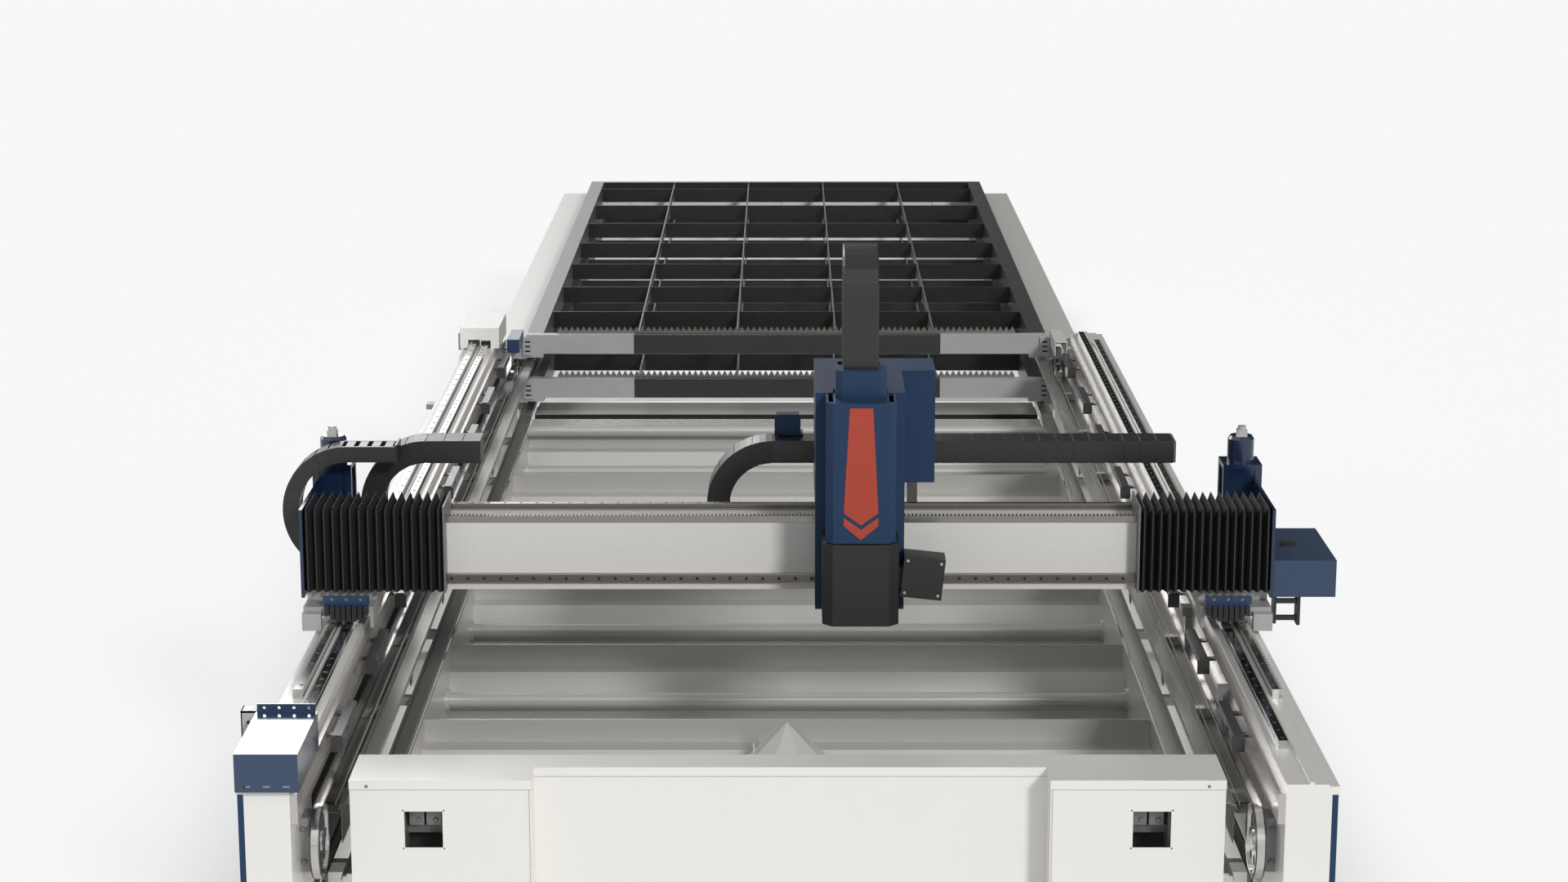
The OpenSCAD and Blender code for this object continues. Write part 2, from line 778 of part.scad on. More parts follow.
// Cream panels that wrap the exchange table's long sides: a top tray and a side sheet
module exchange_panels() {
    y0 = table_y0 + 260;
    color("ivory") placed() both_sides() {
        along_y(y0, table_y1) folded([
            [panel_in, table_top - 14], [panel_in, table_top],
            [panel_out, table_top], [panel_out, table_top - 14]
        ], -sheet);
        block([panel_out - sheet, y0, foot_h + 30], [panel_out, table_y1, table_top - 14 - seam]);
        for (y = [y0 + 40, table_y1 - 100]) block(
            [post_x + post + seam, y, table_top - 70],
            [panel_out - sheet - seam, y + 40, table_top - sheet - seam]
        );
    }
}

// Gantry

module crossbeam() {
    color("lightgray") placed() difference() {
        block([-cross_half, gantry_y, cross_bot], [cross_half, gantry_y + cross_d, cross_top]);
        block(
            [-cross_half - 1, gantry_y + cross_wall, cross_bot + cross_wall],
            [cross_half + 1, gantry_y + cross_d - cross_wall, cross_top - cross_wall]
        );
    }
}

module carriage() {
    x0 = rail_x - 90;
    x1 = rail_x + 165;
    difference() {
        union() {
            block([x0, carriage_y0, carriage_z], [x1, carriage_y1, carriage_z + carriage_h]);
            // Packers that lift the crossbeam
            block([x0, gantry_y, carriage_z + carriage_h], [x1, gantry_y + cross_d, cross_bot]);
            // Inner guard plate beside the rail
            block([x0, carriage_y0, beam_top + 12], [x0 + 12, gantry_y + 60, carriage_z]);
        }
        translate([pinion_x, motor_y, carriage_z - 1]) cylinder(h = carriage_h + 2, r = 28);
    }
    // Oil pump box on the outer front corner
    block([rail_x + 96, carriage_y0 - 40, carriage_z - 44], [x1, carriage_y0, carriage_z + 20]);
}

module carriages() {
    color("darkgray") placed() both_sides() carriage();
}

module y_guide_blocks() {
    ys = [gantry_y - 60, gantry_y + cross_d - 10];
    color("silver") placed() both_sides() for (y = ys)
        along_y(y, y + block_len) translate([rail_x, beam_top]) runner_section(block_w, block_h, block_lift);
}

// Blue plates on the crossbeam's ends
module gantry_end_plates() {
    color("midnightblue") placed() both_sides() difference() {
        block(
            [cross_half, bellows_front + 8, cross_bot - 16],
            [cross_half + plate_t, motor_y - motor_w / 2 - 8, bellows_top - 10]
        );
        bar_x(cross_half - 1, cross_half + plate_t + 1, gantry_y + cross_d / 2, cross_bot + cross_h / 2, 55);
    }
}

// One bellows: an angle-shaped skin over the beam's front and top, folded in pleats
module one_bellows(x_in, x_out) {
    n = 2 * pleats;
    function ring(i) =
        let (d = i % 2 == 1 ? 0 : pleat_d, w = bellows_wall, x = x_in + (x_out - x_in) * i / n)
        [
            [x, bellows_front + d, bellows_low], [x, bellows_front + d, bellows_top - d],
            [x, bellows_back, bellows_top - d], [x, bellows_back, bellows_top - d - w],
            [x, bellows_front + d + w, bellows_top - d - w], [x, bellows_front + d + w, bellows_low]
        ];
    points = [for (i = [0:n]) each ring(i)];
    sides = [for (i = [0:n - 1], k = [0:5]) each [
        [i * 6 + k, i * 6 + (k + 1) % 6, (i + 1) * 6 + (k + 1) % 6],
        [i * 6 + k, (i + 1) * 6 + (k + 1) % 6, (i + 1) * 6 + k]]];
    first = [[4, 1, 0], [5, 4, 0], [3, 2, 1], [4, 3, 1]];
    last = [for (f = first) [n * 6 + f[2], n * 6 + f[1], n * 6 + f[0]]];
    polyhedron(points, concat(sides, first, last));
}

// Angle-shaped end frame of a bellows, seated on the crossbeam
module bellows_frame(x0, x1) {
    along_x(x0, x1) polygon([
        [bellows_front - 4, bellows_low], [bellows_front - 4, bellows_top + 4],
        [bellows_back, bellows_top + 4],
        [bellows_back, cross_top], [gantry_y, cross_top], [gantry_y, bellows_low]
    ]);
}

module bellows() {
    color("black") placed() {
        one_bellows(open_right + 6, cross_half);
        mirror([1, 0, 0]) one_bellows(open_left + 6, cross_half);
    }
    color("dimgray") placed() {
        difference() {
            bellows_frame(open_right, open_right + 6);
            x_rail_room(open_right - 1, open_right + 7);
        }
        mirror([1, 0, 0]) difference() {
            bellows_frame(open_left, open_left + 6);
            x_rail_room(open_left - 1, open_left + 7);
        }
    }
}

// Room for the front rail, the top rail and the rack through a bellows frame
module x_rail_room(x0, x1) {
    block([x0, gantry_y - x_rail_h - 2, front_rail_z - x_rail_w / 2 - 2],
        [x1, gantry_y + 1, front_rail_z + x_rail_w / 2 + 2]);
    block([x0, x_rack_y - 2, cross_top - 1], [x1, x_rack_y + x_rack_w + 2, cross_top + x_rack_h + 2]);
}

// Servo motor: ribbed square body, round cap and connector
module servo() {
    w = motor_w;
    rib = 26;
    cap_h = 100;
    body_h = motor_top - motor_z - cap_h;
    difference() {
        translate([-w / 2, -w / 2, 0]) cube([w, w, body_h]);
        for (a = [0:90:270]) rotate([0, 0, a])
            translate([w / 2 - 8, -w / 2 + rib, 20]) cube([9, w - 2 * rib, body_h - 40]);
    }
    translate([0, 0, body_h]) cylinder(h = cap_h - 12, r = 50);
    translate([0, 0, body_h + cap_h - 12]) cylinder(h = 12, r1 = 50, r2 = 42);
    translate([-18, -40, body_h + cap_h]) cube([36, 44, 26]);
    translate([0, -18, body_h + cap_h + 26]) cylinder(h = 14, r = 16);
}

module servo_motors() {
    color("midnightblue") placed() both_sides() translate([pinion_x, motor_y, motor_z]) servo();
}

module reducers() {
    color("darkslategray") placed() both_sides() translate([pinion_x, motor_y, carriage_z + carriage_h]) {
        translate([-60, -60, 0]) cube([120, 120, 16]);
        translate([0, 0, 16]) cylinder(h = reducer_h - 32, r = 55);
        translate([-65, -65, reducer_h - 16]) cube([130, 130, 16]);
    }
}

module x_rails() {
    color("silver") placed() {
        translate([0, gantry_y, front_rail_z]) rotate([90, 0, 0]) rotate([90, 0, 90])
            linear_extrude(2 * (cross_half - 20), center = true) rail_section(x_rail_w, x_rail_h);
        translate([0, top_rail_y, cross_top]) rotate([90, 0, 90])
            linear_extrude(2 * (cross_half - 20), center = true) rail_section(x_rail_w, x_rail_h);
    }
}

// Rack along the crossbeam's front top edge, teeth up
module x_rack() {
    m = gear_m * 0.75;
    p = PI * m;
    pieces = 4;
    n = floor(2 * (cross_half - 30) / p / pieces);
    color("dimgray") placed() for (k = [0:pieces - 1])
        along_y(x_rack_y, x_rack_y + x_rack_w) translate([(k - pieces / 2) * n * p, cross_top])
            polygon(concat(
                [[rack_joint, 0]],
                [for (i = [0:n - 1]) each [
                    [(i + 0.1) * p, x_rack_h - 2.25 * m], [(i + 0.35) * p, x_rack_h],
                    [(i + 0.65) * p, x_rack_h], [(i + 0.9) * p, x_rack_h - 2.25 * m]]],
                [[n * p - rack_joint, 0]]
            ));
}

// Blue control box on the right end plate, with its latch and the bracket below
module control_box() {
    x0 = cross_half + plate_t;
    x1 = x0 + 230;
    y0 = gantry_y - 50;
    y1 = motor_y - motor_w / 2 - 12;
    z0 = beam_top + 113;
    z1 = beam_top + 251;
    color("steelblue") placed() difference() {
        block([x0, y0, z0], [x1, y1, z1]);
        block([x0 + 3, y0 + 3, z0 + 3], [x1 - 3, y1 - 3, z1 - 3]);
        bar_x(x0 - 1, x0 + 4, (y0 + y1) / 2, (z0 + z1) / 2, 25);
    }
    color("dimgray") placed() {
        block([x0 + 60, y0 + 200, z1], [x0 + 110, y0 + 230, z1 + 16]);
        // Two bars under the box with an end plate, where the long cable chain bolts on
        block([x0 + 10, y0 + 40, z0 - 36], [x0 + 96, y0 + 60, z0 - 20]);
        block([x0 + 10, y0 + 40, z0 - 100], [x0 + 96, y0 + 60, z0 - 84]);
        block([x0 + 10, y0 + 30, z0 - 110], [x0 + 20, y0 + 90, z0]);
        block([x0 + 96, y0 + 30, z0 - 116], [x0 + 108, y0 + 90, z0 - 6]);
    }
}

// Cable chains

// Side view of a straight run of links from x0 to x1, centred on z
module run_outline(x0, x1, z, h, step) {
    n = max(1, round((x1 - x0) / link_p));
    p = (x1 - x0) / n;
    translate([x0, z - h / 2 + step]) square([x1 - x0, h - 2 * step]);
    for (i = [0:n - 1]) translate([x0 + i * p + link_gap / 2, z - h / 2]) square([p - link_gap, h]);
}

// Side view of an arc of links about cx, cz from angle a0 to a1
module arc_outline(cx, cz, r, h, a0, a1, step) {
    n = max(1, round((a1 - a0) * PI / 180 * r / link_p));
    da = (a1 - a0) / n;
    function rim(q, k0, k1, m) = [for (i = [0:m]) let (a = k0 + (k1 - k0) * i / m)
        [cx + q * cos(a), cz + q * sin(a)]];
    polygon(concat(rim(r + h / 2 - step, a0, a1, 4 * n), rim(r - h / 2 + step, a1, a0, 4 * n)));
    trim = link_gap / r * 28.6;
    for (i = [0:n - 1]) polygon(concat(
        rim(r + h / 2, a0 + i * da + trim, a0 + (i + 1) * da - trim, 3),
        rim(r - h / 2, a0 + (i + 1) * da - trim, a0 + i * da + trim, 3)
    ));
}

module left_cable_chain() {
    h = 58;
    cx = -rail_x - 50;
    cz = beam_top + 345;
    r = 220;
    y1 = motor_y - motor_w / 2 - 8;
    color("black") placed() along_y(y1 - 110, y1) {
        arc_outline(cx, cz, r, h, 90, 180, 3);
        run_outline(cx, cx + 180, cz + r, h, 3);
        translate([cx - r - h / 2, cz - 190]) square([h, 190]);
    }
    // Plates that hold the two ends
    color("steelblue") placed() {
        block([cx + 180, y1 - 110, cz + r - 36], [cx + 188, chain_front, cz + r + 36]);
        block([-cross_half - plate_t - 60, y1 - 110, cz - 202], [-cross_half - plate_t, y1, cz - 190]);
        block([cx - r - h / 2, y1 - 110, cz - 202], [-cross_half - plate_t - 60, y1, cz - 190]);
    }
}

module chain_duct() {
    color("black") placed() along_y(chain_front, chain_front + chain_w) {
        arc_outline(duct_bend_x, chain_bend_z, chain_r, chain_h, 90, 180, link_step);
        run_outline(duct_bend_x, duct_end_x, chain_up, chain_h, link_step);
        translate([duct_bend_x - chain_r - chain_h / 2, chain_low - 20])
            square([chain_h, chain_bend_z - chain_low + 20]);
    }
}

module x_chain_upper() {
    color("black") placed() along_y(chain_front, chain_front + chain_w)
        run_outline(chain_bend_x, chain_fixed_x, chain_up, chain_h, link_step);
}

module x_chain_bend() {
    color("black") placed() along_y(chain_front, chain_front + chain_w)
        arc_outline(chain_bend_x, chain_bend_z, chain_r, chain_h, 90, 270, link_step);
}

module x_chain_lower() {
    color("black") placed() along_y(chain_front, chain_front + chain_w)
        run_outline(chain_bend_x, chain_move_x, chain_low, chain_h, link_step);
}

// Steel bar behind the upper run, on two posts that reach under the lower run
module chain_support() {
    y0 = chain_front + chain_w;
    y1 = y0 + slack;
    y2 = y1 + 8;
    under = chain_low - chain_h / 2;
    over = chain_up + chain_h / 2 + slack;
    color("gray") placed() {
        block([-40, y1, chain_up - 30], [chain_fixed_x + 8, y2, chain_up + 30]);
        block([chain_fixed_x, chain_front, chain_up - 40], [chain_fixed_x + 8, y1, chain_up + 40]);
        for (x = [140, 460]) {
            block([x, y1, under - 8], [x + 40, y2, chain_up - 30]);
            block([x, gantry_y + cross_d - 60, under - 20], [x + 40, y2, under - 8]);
            block([x, gantry_y + cross_d - 60, under - 8], [x + 40, gantry_y + cross_d - 10, cross_bot]);
        }
        // Plate under the fixed duct
        block([duct_bend_x - chain_r - chain_h / 2, gantry_y + cross_d, cross_bot],
            [duct_bend_x - chain_r + chain_h / 2, chain_front, cross_bot + 12]);
    }
    // Blue clamp plate over the upper run
    color("steelblue") placed() {
        block([-40, y1 - 60, over], [60, y2, over + 8]);
        block([-40, y1, chain_up + 30], [60, y2, over]);
        block([-26, y1 - 24, over + 8], [46, y1 - 16, over + 20]);
    }
}

// Blue strip and pleated dark scraper in front of each carriage
module rail_scrapers() {
    color("midnightblue") placed() both_sides() {
        x0 = rail_x - 78;
        x1 = rail_x + 92;
        y1 = carriage_y0;
        difference() {
            block([x0, y1 - 8, cross_bot - 26], [x1, y1, cross_bot + 4]);
            for (i = [-1:1]) bar_y(y1 - 9, y1 + 1, rail_x + 7 + i * 52, cross_bot - 11, 6);
        }
        // Pleats, the outer ones shorter
        for (i = [0:7]) block(
            [x0 + 4 + i * 20, y1 - 34 - 12 * sin(22 + i * 19),
                carriage_z - 8 + max(0, abs(i - 3.5) - 2) * 14],
            [x0 + 20 + i * 20, y1, cross_bot - 26]);
    }
}

// Cutting head

// Angle-shaped saddle: front plate and top plate, riding on the X runner blocks
module x_saddle() {
    x0 = head_x - head_w / 2 + 8;
    x1 = head_x + head_w / 2 - 8;
    fy = gantry_y - x_rail_h - 22;
    tz = cross_top + x_rail_h + 22;
    arm_y = chain_front - 26;
    color("darkgray") placed() {
        block([x0, fy - saddle_t, housing_z + 4], [x1, fy, tz + saddle_t]);
        block([x0, fy, tz], [x1, top_rail_y + 50, tz + saddle_t]);
        // Arm over the beam and down behind it to the chain's moving end
        block([head_x - 40, top_rail_y + 50, tz], [head_x + 40, arm_y + 10, tz + 16]);
        block([head_x - 40, arm_y, chain_low - 30], [head_x + 40, arm_y + 10, tz]);
        // Drag bar: the chain's end stays right of its bend over the whole travel
        block([head_x + 40, arm_y, chain_low - 30], [chain_move_x + 10, arm_y + 10, chain_low + 30]);
        block([chain_move_x, arm_y + 10, chain_low - 40],
            [chain_move_x + 10, chain_front + chain_w, chain_low + 40]);
    }
}

// Runner blocks on the front rail and the top rail
module x_runner_section() {
    difference() {
        translate([-33, 7]) square([66, x_rail_h + 22 - 7]);
        rail_section(x_rail_w, x_rail_h, gap);
    }
}

module x_guide_blocks() {
    color("silver") placed() for (s = [-1, 1]) translate([head_x + s * 90, 0, 0]) {
        translate([0, gantry_y, front_rail_z]) rotate([90, 0, 0]) rotate([90, 0, 90])
            linear_extrude(100, center = true) x_runner_section();
        translate([0, top_rail_y, cross_top]) rotate([90, 0, 90])
            linear_extrude(100, center = true) x_runner_section();
    }
}

// Blue housing: a deep channel open at the front, where the Z slide runs
module head_housing() {
    x0 = head_x - head_w / 2;
    x1 = head_x + head_w / 2;
    z1 = housing_z + head_h;
    back = housing_back;
    color("steelblue") placed() {
        difference() {
            block([x0, housing_y, housing_z], [x1, back, z1]);
            // Front flanges stay 38 wide beside the opening
            block([x0 + 12, housing_y + 6, housing_z - 1], [x1 - 12, back - 14, z1 - 12]);
            block([x0 + 38, housing_y - 1, housing_z - 1], [x1 - 38, housing_y + 7, z1 - 12]);
            // Front of the top plate is cut back for the moving cap
            block([head_x - 97, housing_y - 1, z1 - 13], [head_x + 97, housing_y + 60, z1 + 1]);
            for (s = [-1, 1], z = [housing_z + 40 : 260 : z1 - 40])
                bar_y(housing_y - 1, housing_y + 3, head_x + s * (head_w / 2 - 13), z, 3.5);
        }
        // Z rails on the back plate
        for (s = [-1, 1])
            block([head_x + s * 90 - 10, z_rail_y, housing_z + 30],
                [head_x + s * 90 + 10, back - 14, z1 - 40]);
        // Hollow rear box above the saddle, open below the chain's landing
        difference() {
            block([x0, back, rear_z], [x1, head_back, z1]);
            block([x0 + 6, back + 6, rear_z + 6], [x1 - 6, head_back - 6, z1 - 6]);
            block([head_x - 72, z_arch_y1 - 66, z1 - 7], [head_x + 72, z_arch_y1 + 66, z1 + 1]);
        }
        // Cheeks beside the chain's landing, joined by a plate behind it
        for (s = [-1, 1]) translate([head_x + s * 79 - 3, 0, 0]) along_x(0, 6)
            polygon([
                [z_arch_y1 - 60, z1], [z_arch_y1 + 80, z1],
                [z_arch_y1 + 80, z1 + 52], [z_arch_y1 + 20, z1 + 52]
            ]);
        block([head_x - 76, z_arch_y1 + 74, z1], [head_x + 76, z_arch_y1 + 80, z1 + 52]);
    }
}

// Blue box on the head's right side, over the X motor
module x_motor_cover() {
    x0 = head_x + head_w / 2;
    color("royalblue") placed() difference() {
        block([x0, head_back - 229, beam_top + 485], [x0 + 126, head_back, housing_z + head_h]);
        block([x0 + 3, head_back - 226, beam_top + 484], [x0 + 123, head_back - 3, housing_z + head_h - 3]);
    }
}

// Flexible chain over the top of the head, from the rear box to the moving cap
module z_chain() {
    r = (z_arch_y1 - z_arch_y0) / 2;
    yc = (z_arch_y0 + z_arch_y1) / 2;
    zc = z_arch_top - r - z_arch_h / 2;
    z_back = housing_z + head_h;
    z_front = cover_z1 + z_cap_h;
    color("black") placed() along_x(head_x - z_arch_w / 2, head_x + z_arch_w / 2) {
        arc_outline(yc, zc, r, z_arch_h, 0, 180, 3);
        translate([yc + r - z_arch_h / 2, z_back]) square([z_arch_h, zc - z_back]);
        translate([yc - r - z_arch_h / 2, z_front]) square([z_arch_h, zc - z_front]);
    }
}

// Plan of a cover with chamfered front corners
module chamfered_plan(w, y0, y1, c) {
    polygon([
        [-w / 2, y1], [-w / 2, y0 + c], [-w / 2 + c, y0], [w / 2 - c, y0], [w / 2, y0 + c], [w / 2, y1]
    ]);
}

module z_cover() {
    side = 9;
    color("steelblue") placed() translate([head_x, 0, 0]) {
        difference() {
            translate([0, 0, cover_z0]) linear_extrude(cover_z1 - cover_z0)
                chamfered_plan(cover_w, cover_front, cover_back, (cover_w - 197) / 2);
            translate([0, 0, cover_z0 - 1]) linear_extrude(cover_z1 - cover_z0 - side)
                chamfered_plan(cover_w - 2 * side, cover_front + side, cover_back + 1, (cover_w - 197) / 2);
            // The lid spans only the flat middle
            both_sides() block([99, cover_front + 30, cover_z1 - side - 1],
                [cover_w / 2 - side, cover_back + 1, cover_z1 + 1]);
            // Socket of the arrow inlay
            translate([0, cover_front + 1.7, 0]) rotate([90, 0, 0]) linear_extrude(3) arrow_outline(0.2);
        }
        // Slide plate and runners behind the cover
        block([-106, cover_back, lower_z0 + 30], [106, cover_back + 18, lower_z0 + 640]);
        for (s = [-1, 1], z = [lower_z0 + 60, lower_z0 + 420])
            block([s * 90 - 20, cover_back + 18, z], [s * 90 + 20, z_rail_y - gap, z + 180]);
        // Cap on top that takes the chain's front end
        translate([0, 0, cover_z1]) linear_extrude(z_cap_h)
            chamfered_plan(182, z_arch_y0 - 72, z_arch_y0 + 46, 24);
    }
}

// Plain downward arrow in x and z, with a chevron below its tip
module arrow_outline(grow) {
    top_half = 41 + grow;
    wide_half = 61 + grow;
    z_top = beam_top + 891 + grow;
    z_shoulder = beam_top + 512;
    z_tip = beam_top + 468 - grow;
    polygon([
        [-top_half, z_top], [top_half, z_top], [wide_half, z_shoulder], [0, z_tip], [-wide_half, z_shoulder]
    ]);
    polygon([
        [-wide_half, z_shoulder - 16 + grow], [0, z_tip - 16 + grow], [wide_half, z_shoulder - 16 + grow],
        [wide_half, z_shoulder - 46 - grow], [0, z_tip - 54 - grow], [-wide_half, z_shoulder - 46 - grow]
    ]);
}

module z_arrow() {
    color("tomato") placed() translate([head_x, cover_front + 1.7 - gap / 2, 0])
        rotate([90, 0, 0]) linear_extrude(2.6) arrow_outline(0);
}

module lower_cover() {
    c = 36;
    side = 6;
    color("black") placed() translate([head_x, 0, 0]) difference() {
        translate([0, 0, lower_z0]) linear_extrude(lower_z1 - lower_z0)
            chamfered_plan(lower_w, cover_front - 12, cover_back, c);
        translate([0, 0, lower_z0 - 1]) linear_extrude(lower_z1 - lower_z0 - 5)
            chamfered_plan(lower_w - 2 * side, cover_front - 12 + side, cover_back + 1, c);
        // Room for the optics tube through the top
        translate([0, (cover_front + cover_back) / 2, lower_z1 - 7]) cylinder(h = 9, r = optics_r + 4);
    }
}

// Optics tube with its collimator, nozzle carrier and nozzle
module cutting_head() {
    yc = (cover_front + cover_back) / 2;
    tip = beam_top + nozzle_z;
    color("silver") placed() translate([head_x, yc, 0]) {
        rotate_extrude() polygon([
            [0, tip], [3, tip], [10, tip + 14], [16, tip + 20], [16, tip + 34],
            [26, tip + 40], [26, tip + 80], [optics_r, tip + 96], [optics_r, cover_z0 + 260],
            [30, cover_z0 + 270], [30, cover_z0 + 330], [0, cover_z0 + 330]
        ]);
        // Clamps that hold the optics to the slide plate
        for (z = [lower_z0 + 130, cover_z0 + 120]) block([-38, 30, z], [38, cover_back - yc, z + 60]);
    }
}

// Dark finned sensor box on the lower cover's right side
module sensor_box() {
    x0 = head_x + lower_w / 2;
    color("dimgray") placed() {
        translate([x0 + 6, cover_front + 60, beam_top + 190]) rotate([0, 6, 0]) cube([148, 110, 150]);
        block([x0, cover_front + 90, beam_top + 215], [x0 + 14, cover_front + 140, beam_top + 290]);
    }
}

// Pallets

module pallet_frame(level) {
    z = beam_top - level * level_gap;
    x_in = pallet_half - tube_w;
    y_end = pallet_y + pallet_len;
    plate_t = 2 * pallet_t;
    plate_ys = [for (i = [0:cross_plates - 1]) pallet_y + 740 + i * (pallet_len - 1060) / (cross_plates - 1)];
    both_sides() {
        difference() {
            block([x_in, pallet_y, z - pallet_h], [pallet_half, y_end, z]);
            block([x_in + 6, pallet_y + 20, z - pallet_h + 6], [pallet_half - 6, y_end - 20, z - 6]);
        }
        // Hangers of the wheel axles
        for (y = [pallet_y + axle_front, pallet_y + axle_rear]) difference() {
            block([pallet_half - 30, y - 50, z - wheel_z - 26],
                [pallet_half - 18, y + 50, z - pallet_h - seam]);
            bar_x(pallet_half - 31, pallet_half - 17, y, z - wheel_z, axle_r + axle_gap);
        }
        // Corner bracket in three bolted pieces: front plate, side block and the hook that the belt draws
        block([pallet_half - 34, pallet_y - 12, z - 112], [pallet_half + 20, pallet_y - seam, z - 12]);
        block([pallet_half + seam, pallet_y, z - pallet_h - 6], [pallet_half + 20, pallet_y + 60, z - 20]);
        block(
            [pallet_half + 20 + seam, pallet_y, z - pallet_h - 6],
            [belt_in + belt_w - 14, pallet_y + 60, z - pallet_h + 50]
        );
    }
    // Front and rear beams
    for (y = [pallet_y, y_end - 60]) difference() {
        block([-x_in + seam, y, z - front_h], [x_in - seam, y + 60, z]);
        block([-x_in - 1, y + 6, z - front_h + 6], [x_in + 1, y + 54, z - 6]);
    }
    // Deep cross plates, and lengthwise bars welded between them
    for (y = plate_ys) block([-x_in + seam, y, z - front_h], [x_in - seam, y + plate_t, z - 8]);
    starts = concat([pallet_y + 60 + slat_t], [for (y = plate_ys) y + plate_t]);
    ends = concat(plate_ys, [y_end - 60]);
    for (x = [-3:2:3], i = [0:cross_plates]) block(
        [x * bar_p / 2 - pallet_t, starts[i] + seam, z - 70],
        [x * bar_p / 2 + pallet_t, ends[i] - seam, z - 10]
    );
}

// Serrated slat behind the front beam
module pallet_slat(level) {
    z = beam_top - level * level_gap;
    half = pallet_half * 0.884;
    p = 2 * half / slat_teeth;
    along_y(pallet_y + 60 + seam, pallet_y + 60 + slat_t) translate([-half, z]) polygon(concat(
        [[0, -80]],
        [for (i = [0:slat_teeth - 1]) each [[i * p, 8], [(i + 0.5) * p, slat_tip]]],
        [[2 * half, 8], [2 * half, -80]]
    ));
}

// A pair of wheels on their stub axles
module pallet_axle(level, y) {
    z = beam_top - level * level_gap - wheel_z;
    both_sides() {
        difference() {
            bar_x(wheel_in, wheel_in + wheel_w, pallet_y + y, z, wheel_d / 2);
            bar_x(wheel_in + wheel_w - 5, wheel_in + wheel_w + 1, pallet_y + y, z, wheel_d / 2 - 10);
        }
        bar_x(pallet_half - 44, wheel_in + wheel_w - 1, pallet_y + y, z, axle_r);
        bar_x(pallet_half - 44, pallet_half - 30 - gap, pallet_y + y, z, 20);
    }
}

module upper_pallet_frame() {
    color("dimgray") placed() pallet_frame(0);
}

module upper_pallet_slats() {
    color("gray") placed() pallet_slat(0);
}

module upper_front_axle() {
    color("silver") placed() pallet_axle(0, axle_front);
}

module upper_rear_axle() {
    color("silver") placed() pallet_axle(0, axle_rear);
}

module lower_pallet_frame() {
    color("dimgray") placed() pallet_frame(1);
}

module lower_pallet_slats() {
    color("gray") placed() pallet_slat(1);
}

module lower_front_axle() {
    color("silver") placed() pallet_axle(1, axle_front);
}

module lower_rear_axle() {
    color("silver") placed() pallet_axle(1, axle_rear);
}

left_side_beam();
right_side_beam();
side_bars();
y_rails();
y_racks();
left_end_cover();
far_left_cover();
belt_hoods();
pallet_tracks();
belt_guides();
drive_belts();
front_cover();
cross_members();
hopper_panels();
extraction_duct();
levelling_feet();
side_panels();
belt_motors();
bearing_blocks();
exchange_frame();
exchange_panels();
crossbeam();
carriages();
y_guide_blocks();
gantry_end_plates();
bellows();
servo_motors();
reducers();
x_rails();
x_rack();
control_box();
left_cable_chain();
chain_duct();
chain_support();
x_chain_upper();
rail_scrapers();
left_pinion();
right_pinion();
x_chain_bend();
idler_wheels();
drive_wheels();
x_saddle();
head_housing();
x_motor_cover();
x_guide_blocks();
x_chain_lower();
z_chain();
z_cover();
z_arrow();
lower_cover();
cutting_head();
sensor_box();
upper_pallet_frame();
upper_pallet_slats();
upper_front_axle();
upper_rear_axle();
lower_pallet_frame();
lower_pallet_slats();
lower_front_axle();
lower_rear_axle();
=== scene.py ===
"""Looks of the flat-bed laser cutting machine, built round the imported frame. Units are metres."""
import json
import math

import bmesh
import bpy
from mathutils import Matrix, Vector


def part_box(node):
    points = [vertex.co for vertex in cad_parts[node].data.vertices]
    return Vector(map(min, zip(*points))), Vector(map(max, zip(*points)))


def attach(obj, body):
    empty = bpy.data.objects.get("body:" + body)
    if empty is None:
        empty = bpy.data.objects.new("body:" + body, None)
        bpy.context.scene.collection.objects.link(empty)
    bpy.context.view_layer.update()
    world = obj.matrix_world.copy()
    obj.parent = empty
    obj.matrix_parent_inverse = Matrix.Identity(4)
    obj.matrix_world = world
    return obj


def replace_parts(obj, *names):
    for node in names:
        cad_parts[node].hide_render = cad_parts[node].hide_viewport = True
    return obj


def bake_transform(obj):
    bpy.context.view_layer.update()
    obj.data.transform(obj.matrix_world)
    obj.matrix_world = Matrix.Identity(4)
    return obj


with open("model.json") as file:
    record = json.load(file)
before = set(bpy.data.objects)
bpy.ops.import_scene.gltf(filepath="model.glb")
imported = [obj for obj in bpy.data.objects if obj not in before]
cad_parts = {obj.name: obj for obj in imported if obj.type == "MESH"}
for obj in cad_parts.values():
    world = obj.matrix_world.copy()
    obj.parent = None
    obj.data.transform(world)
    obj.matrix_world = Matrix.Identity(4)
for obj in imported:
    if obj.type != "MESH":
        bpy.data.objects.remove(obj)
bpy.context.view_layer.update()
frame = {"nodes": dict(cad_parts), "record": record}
NODES = frame["nodes"]
LOW, HIGH = 0, 1
X, Y, Z = 0, 1, 2


def span(node):
    """Lowest and highest corner of a CAD node, as two tuples."""
    low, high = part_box(node)
    return tuple(low), tuple(high)


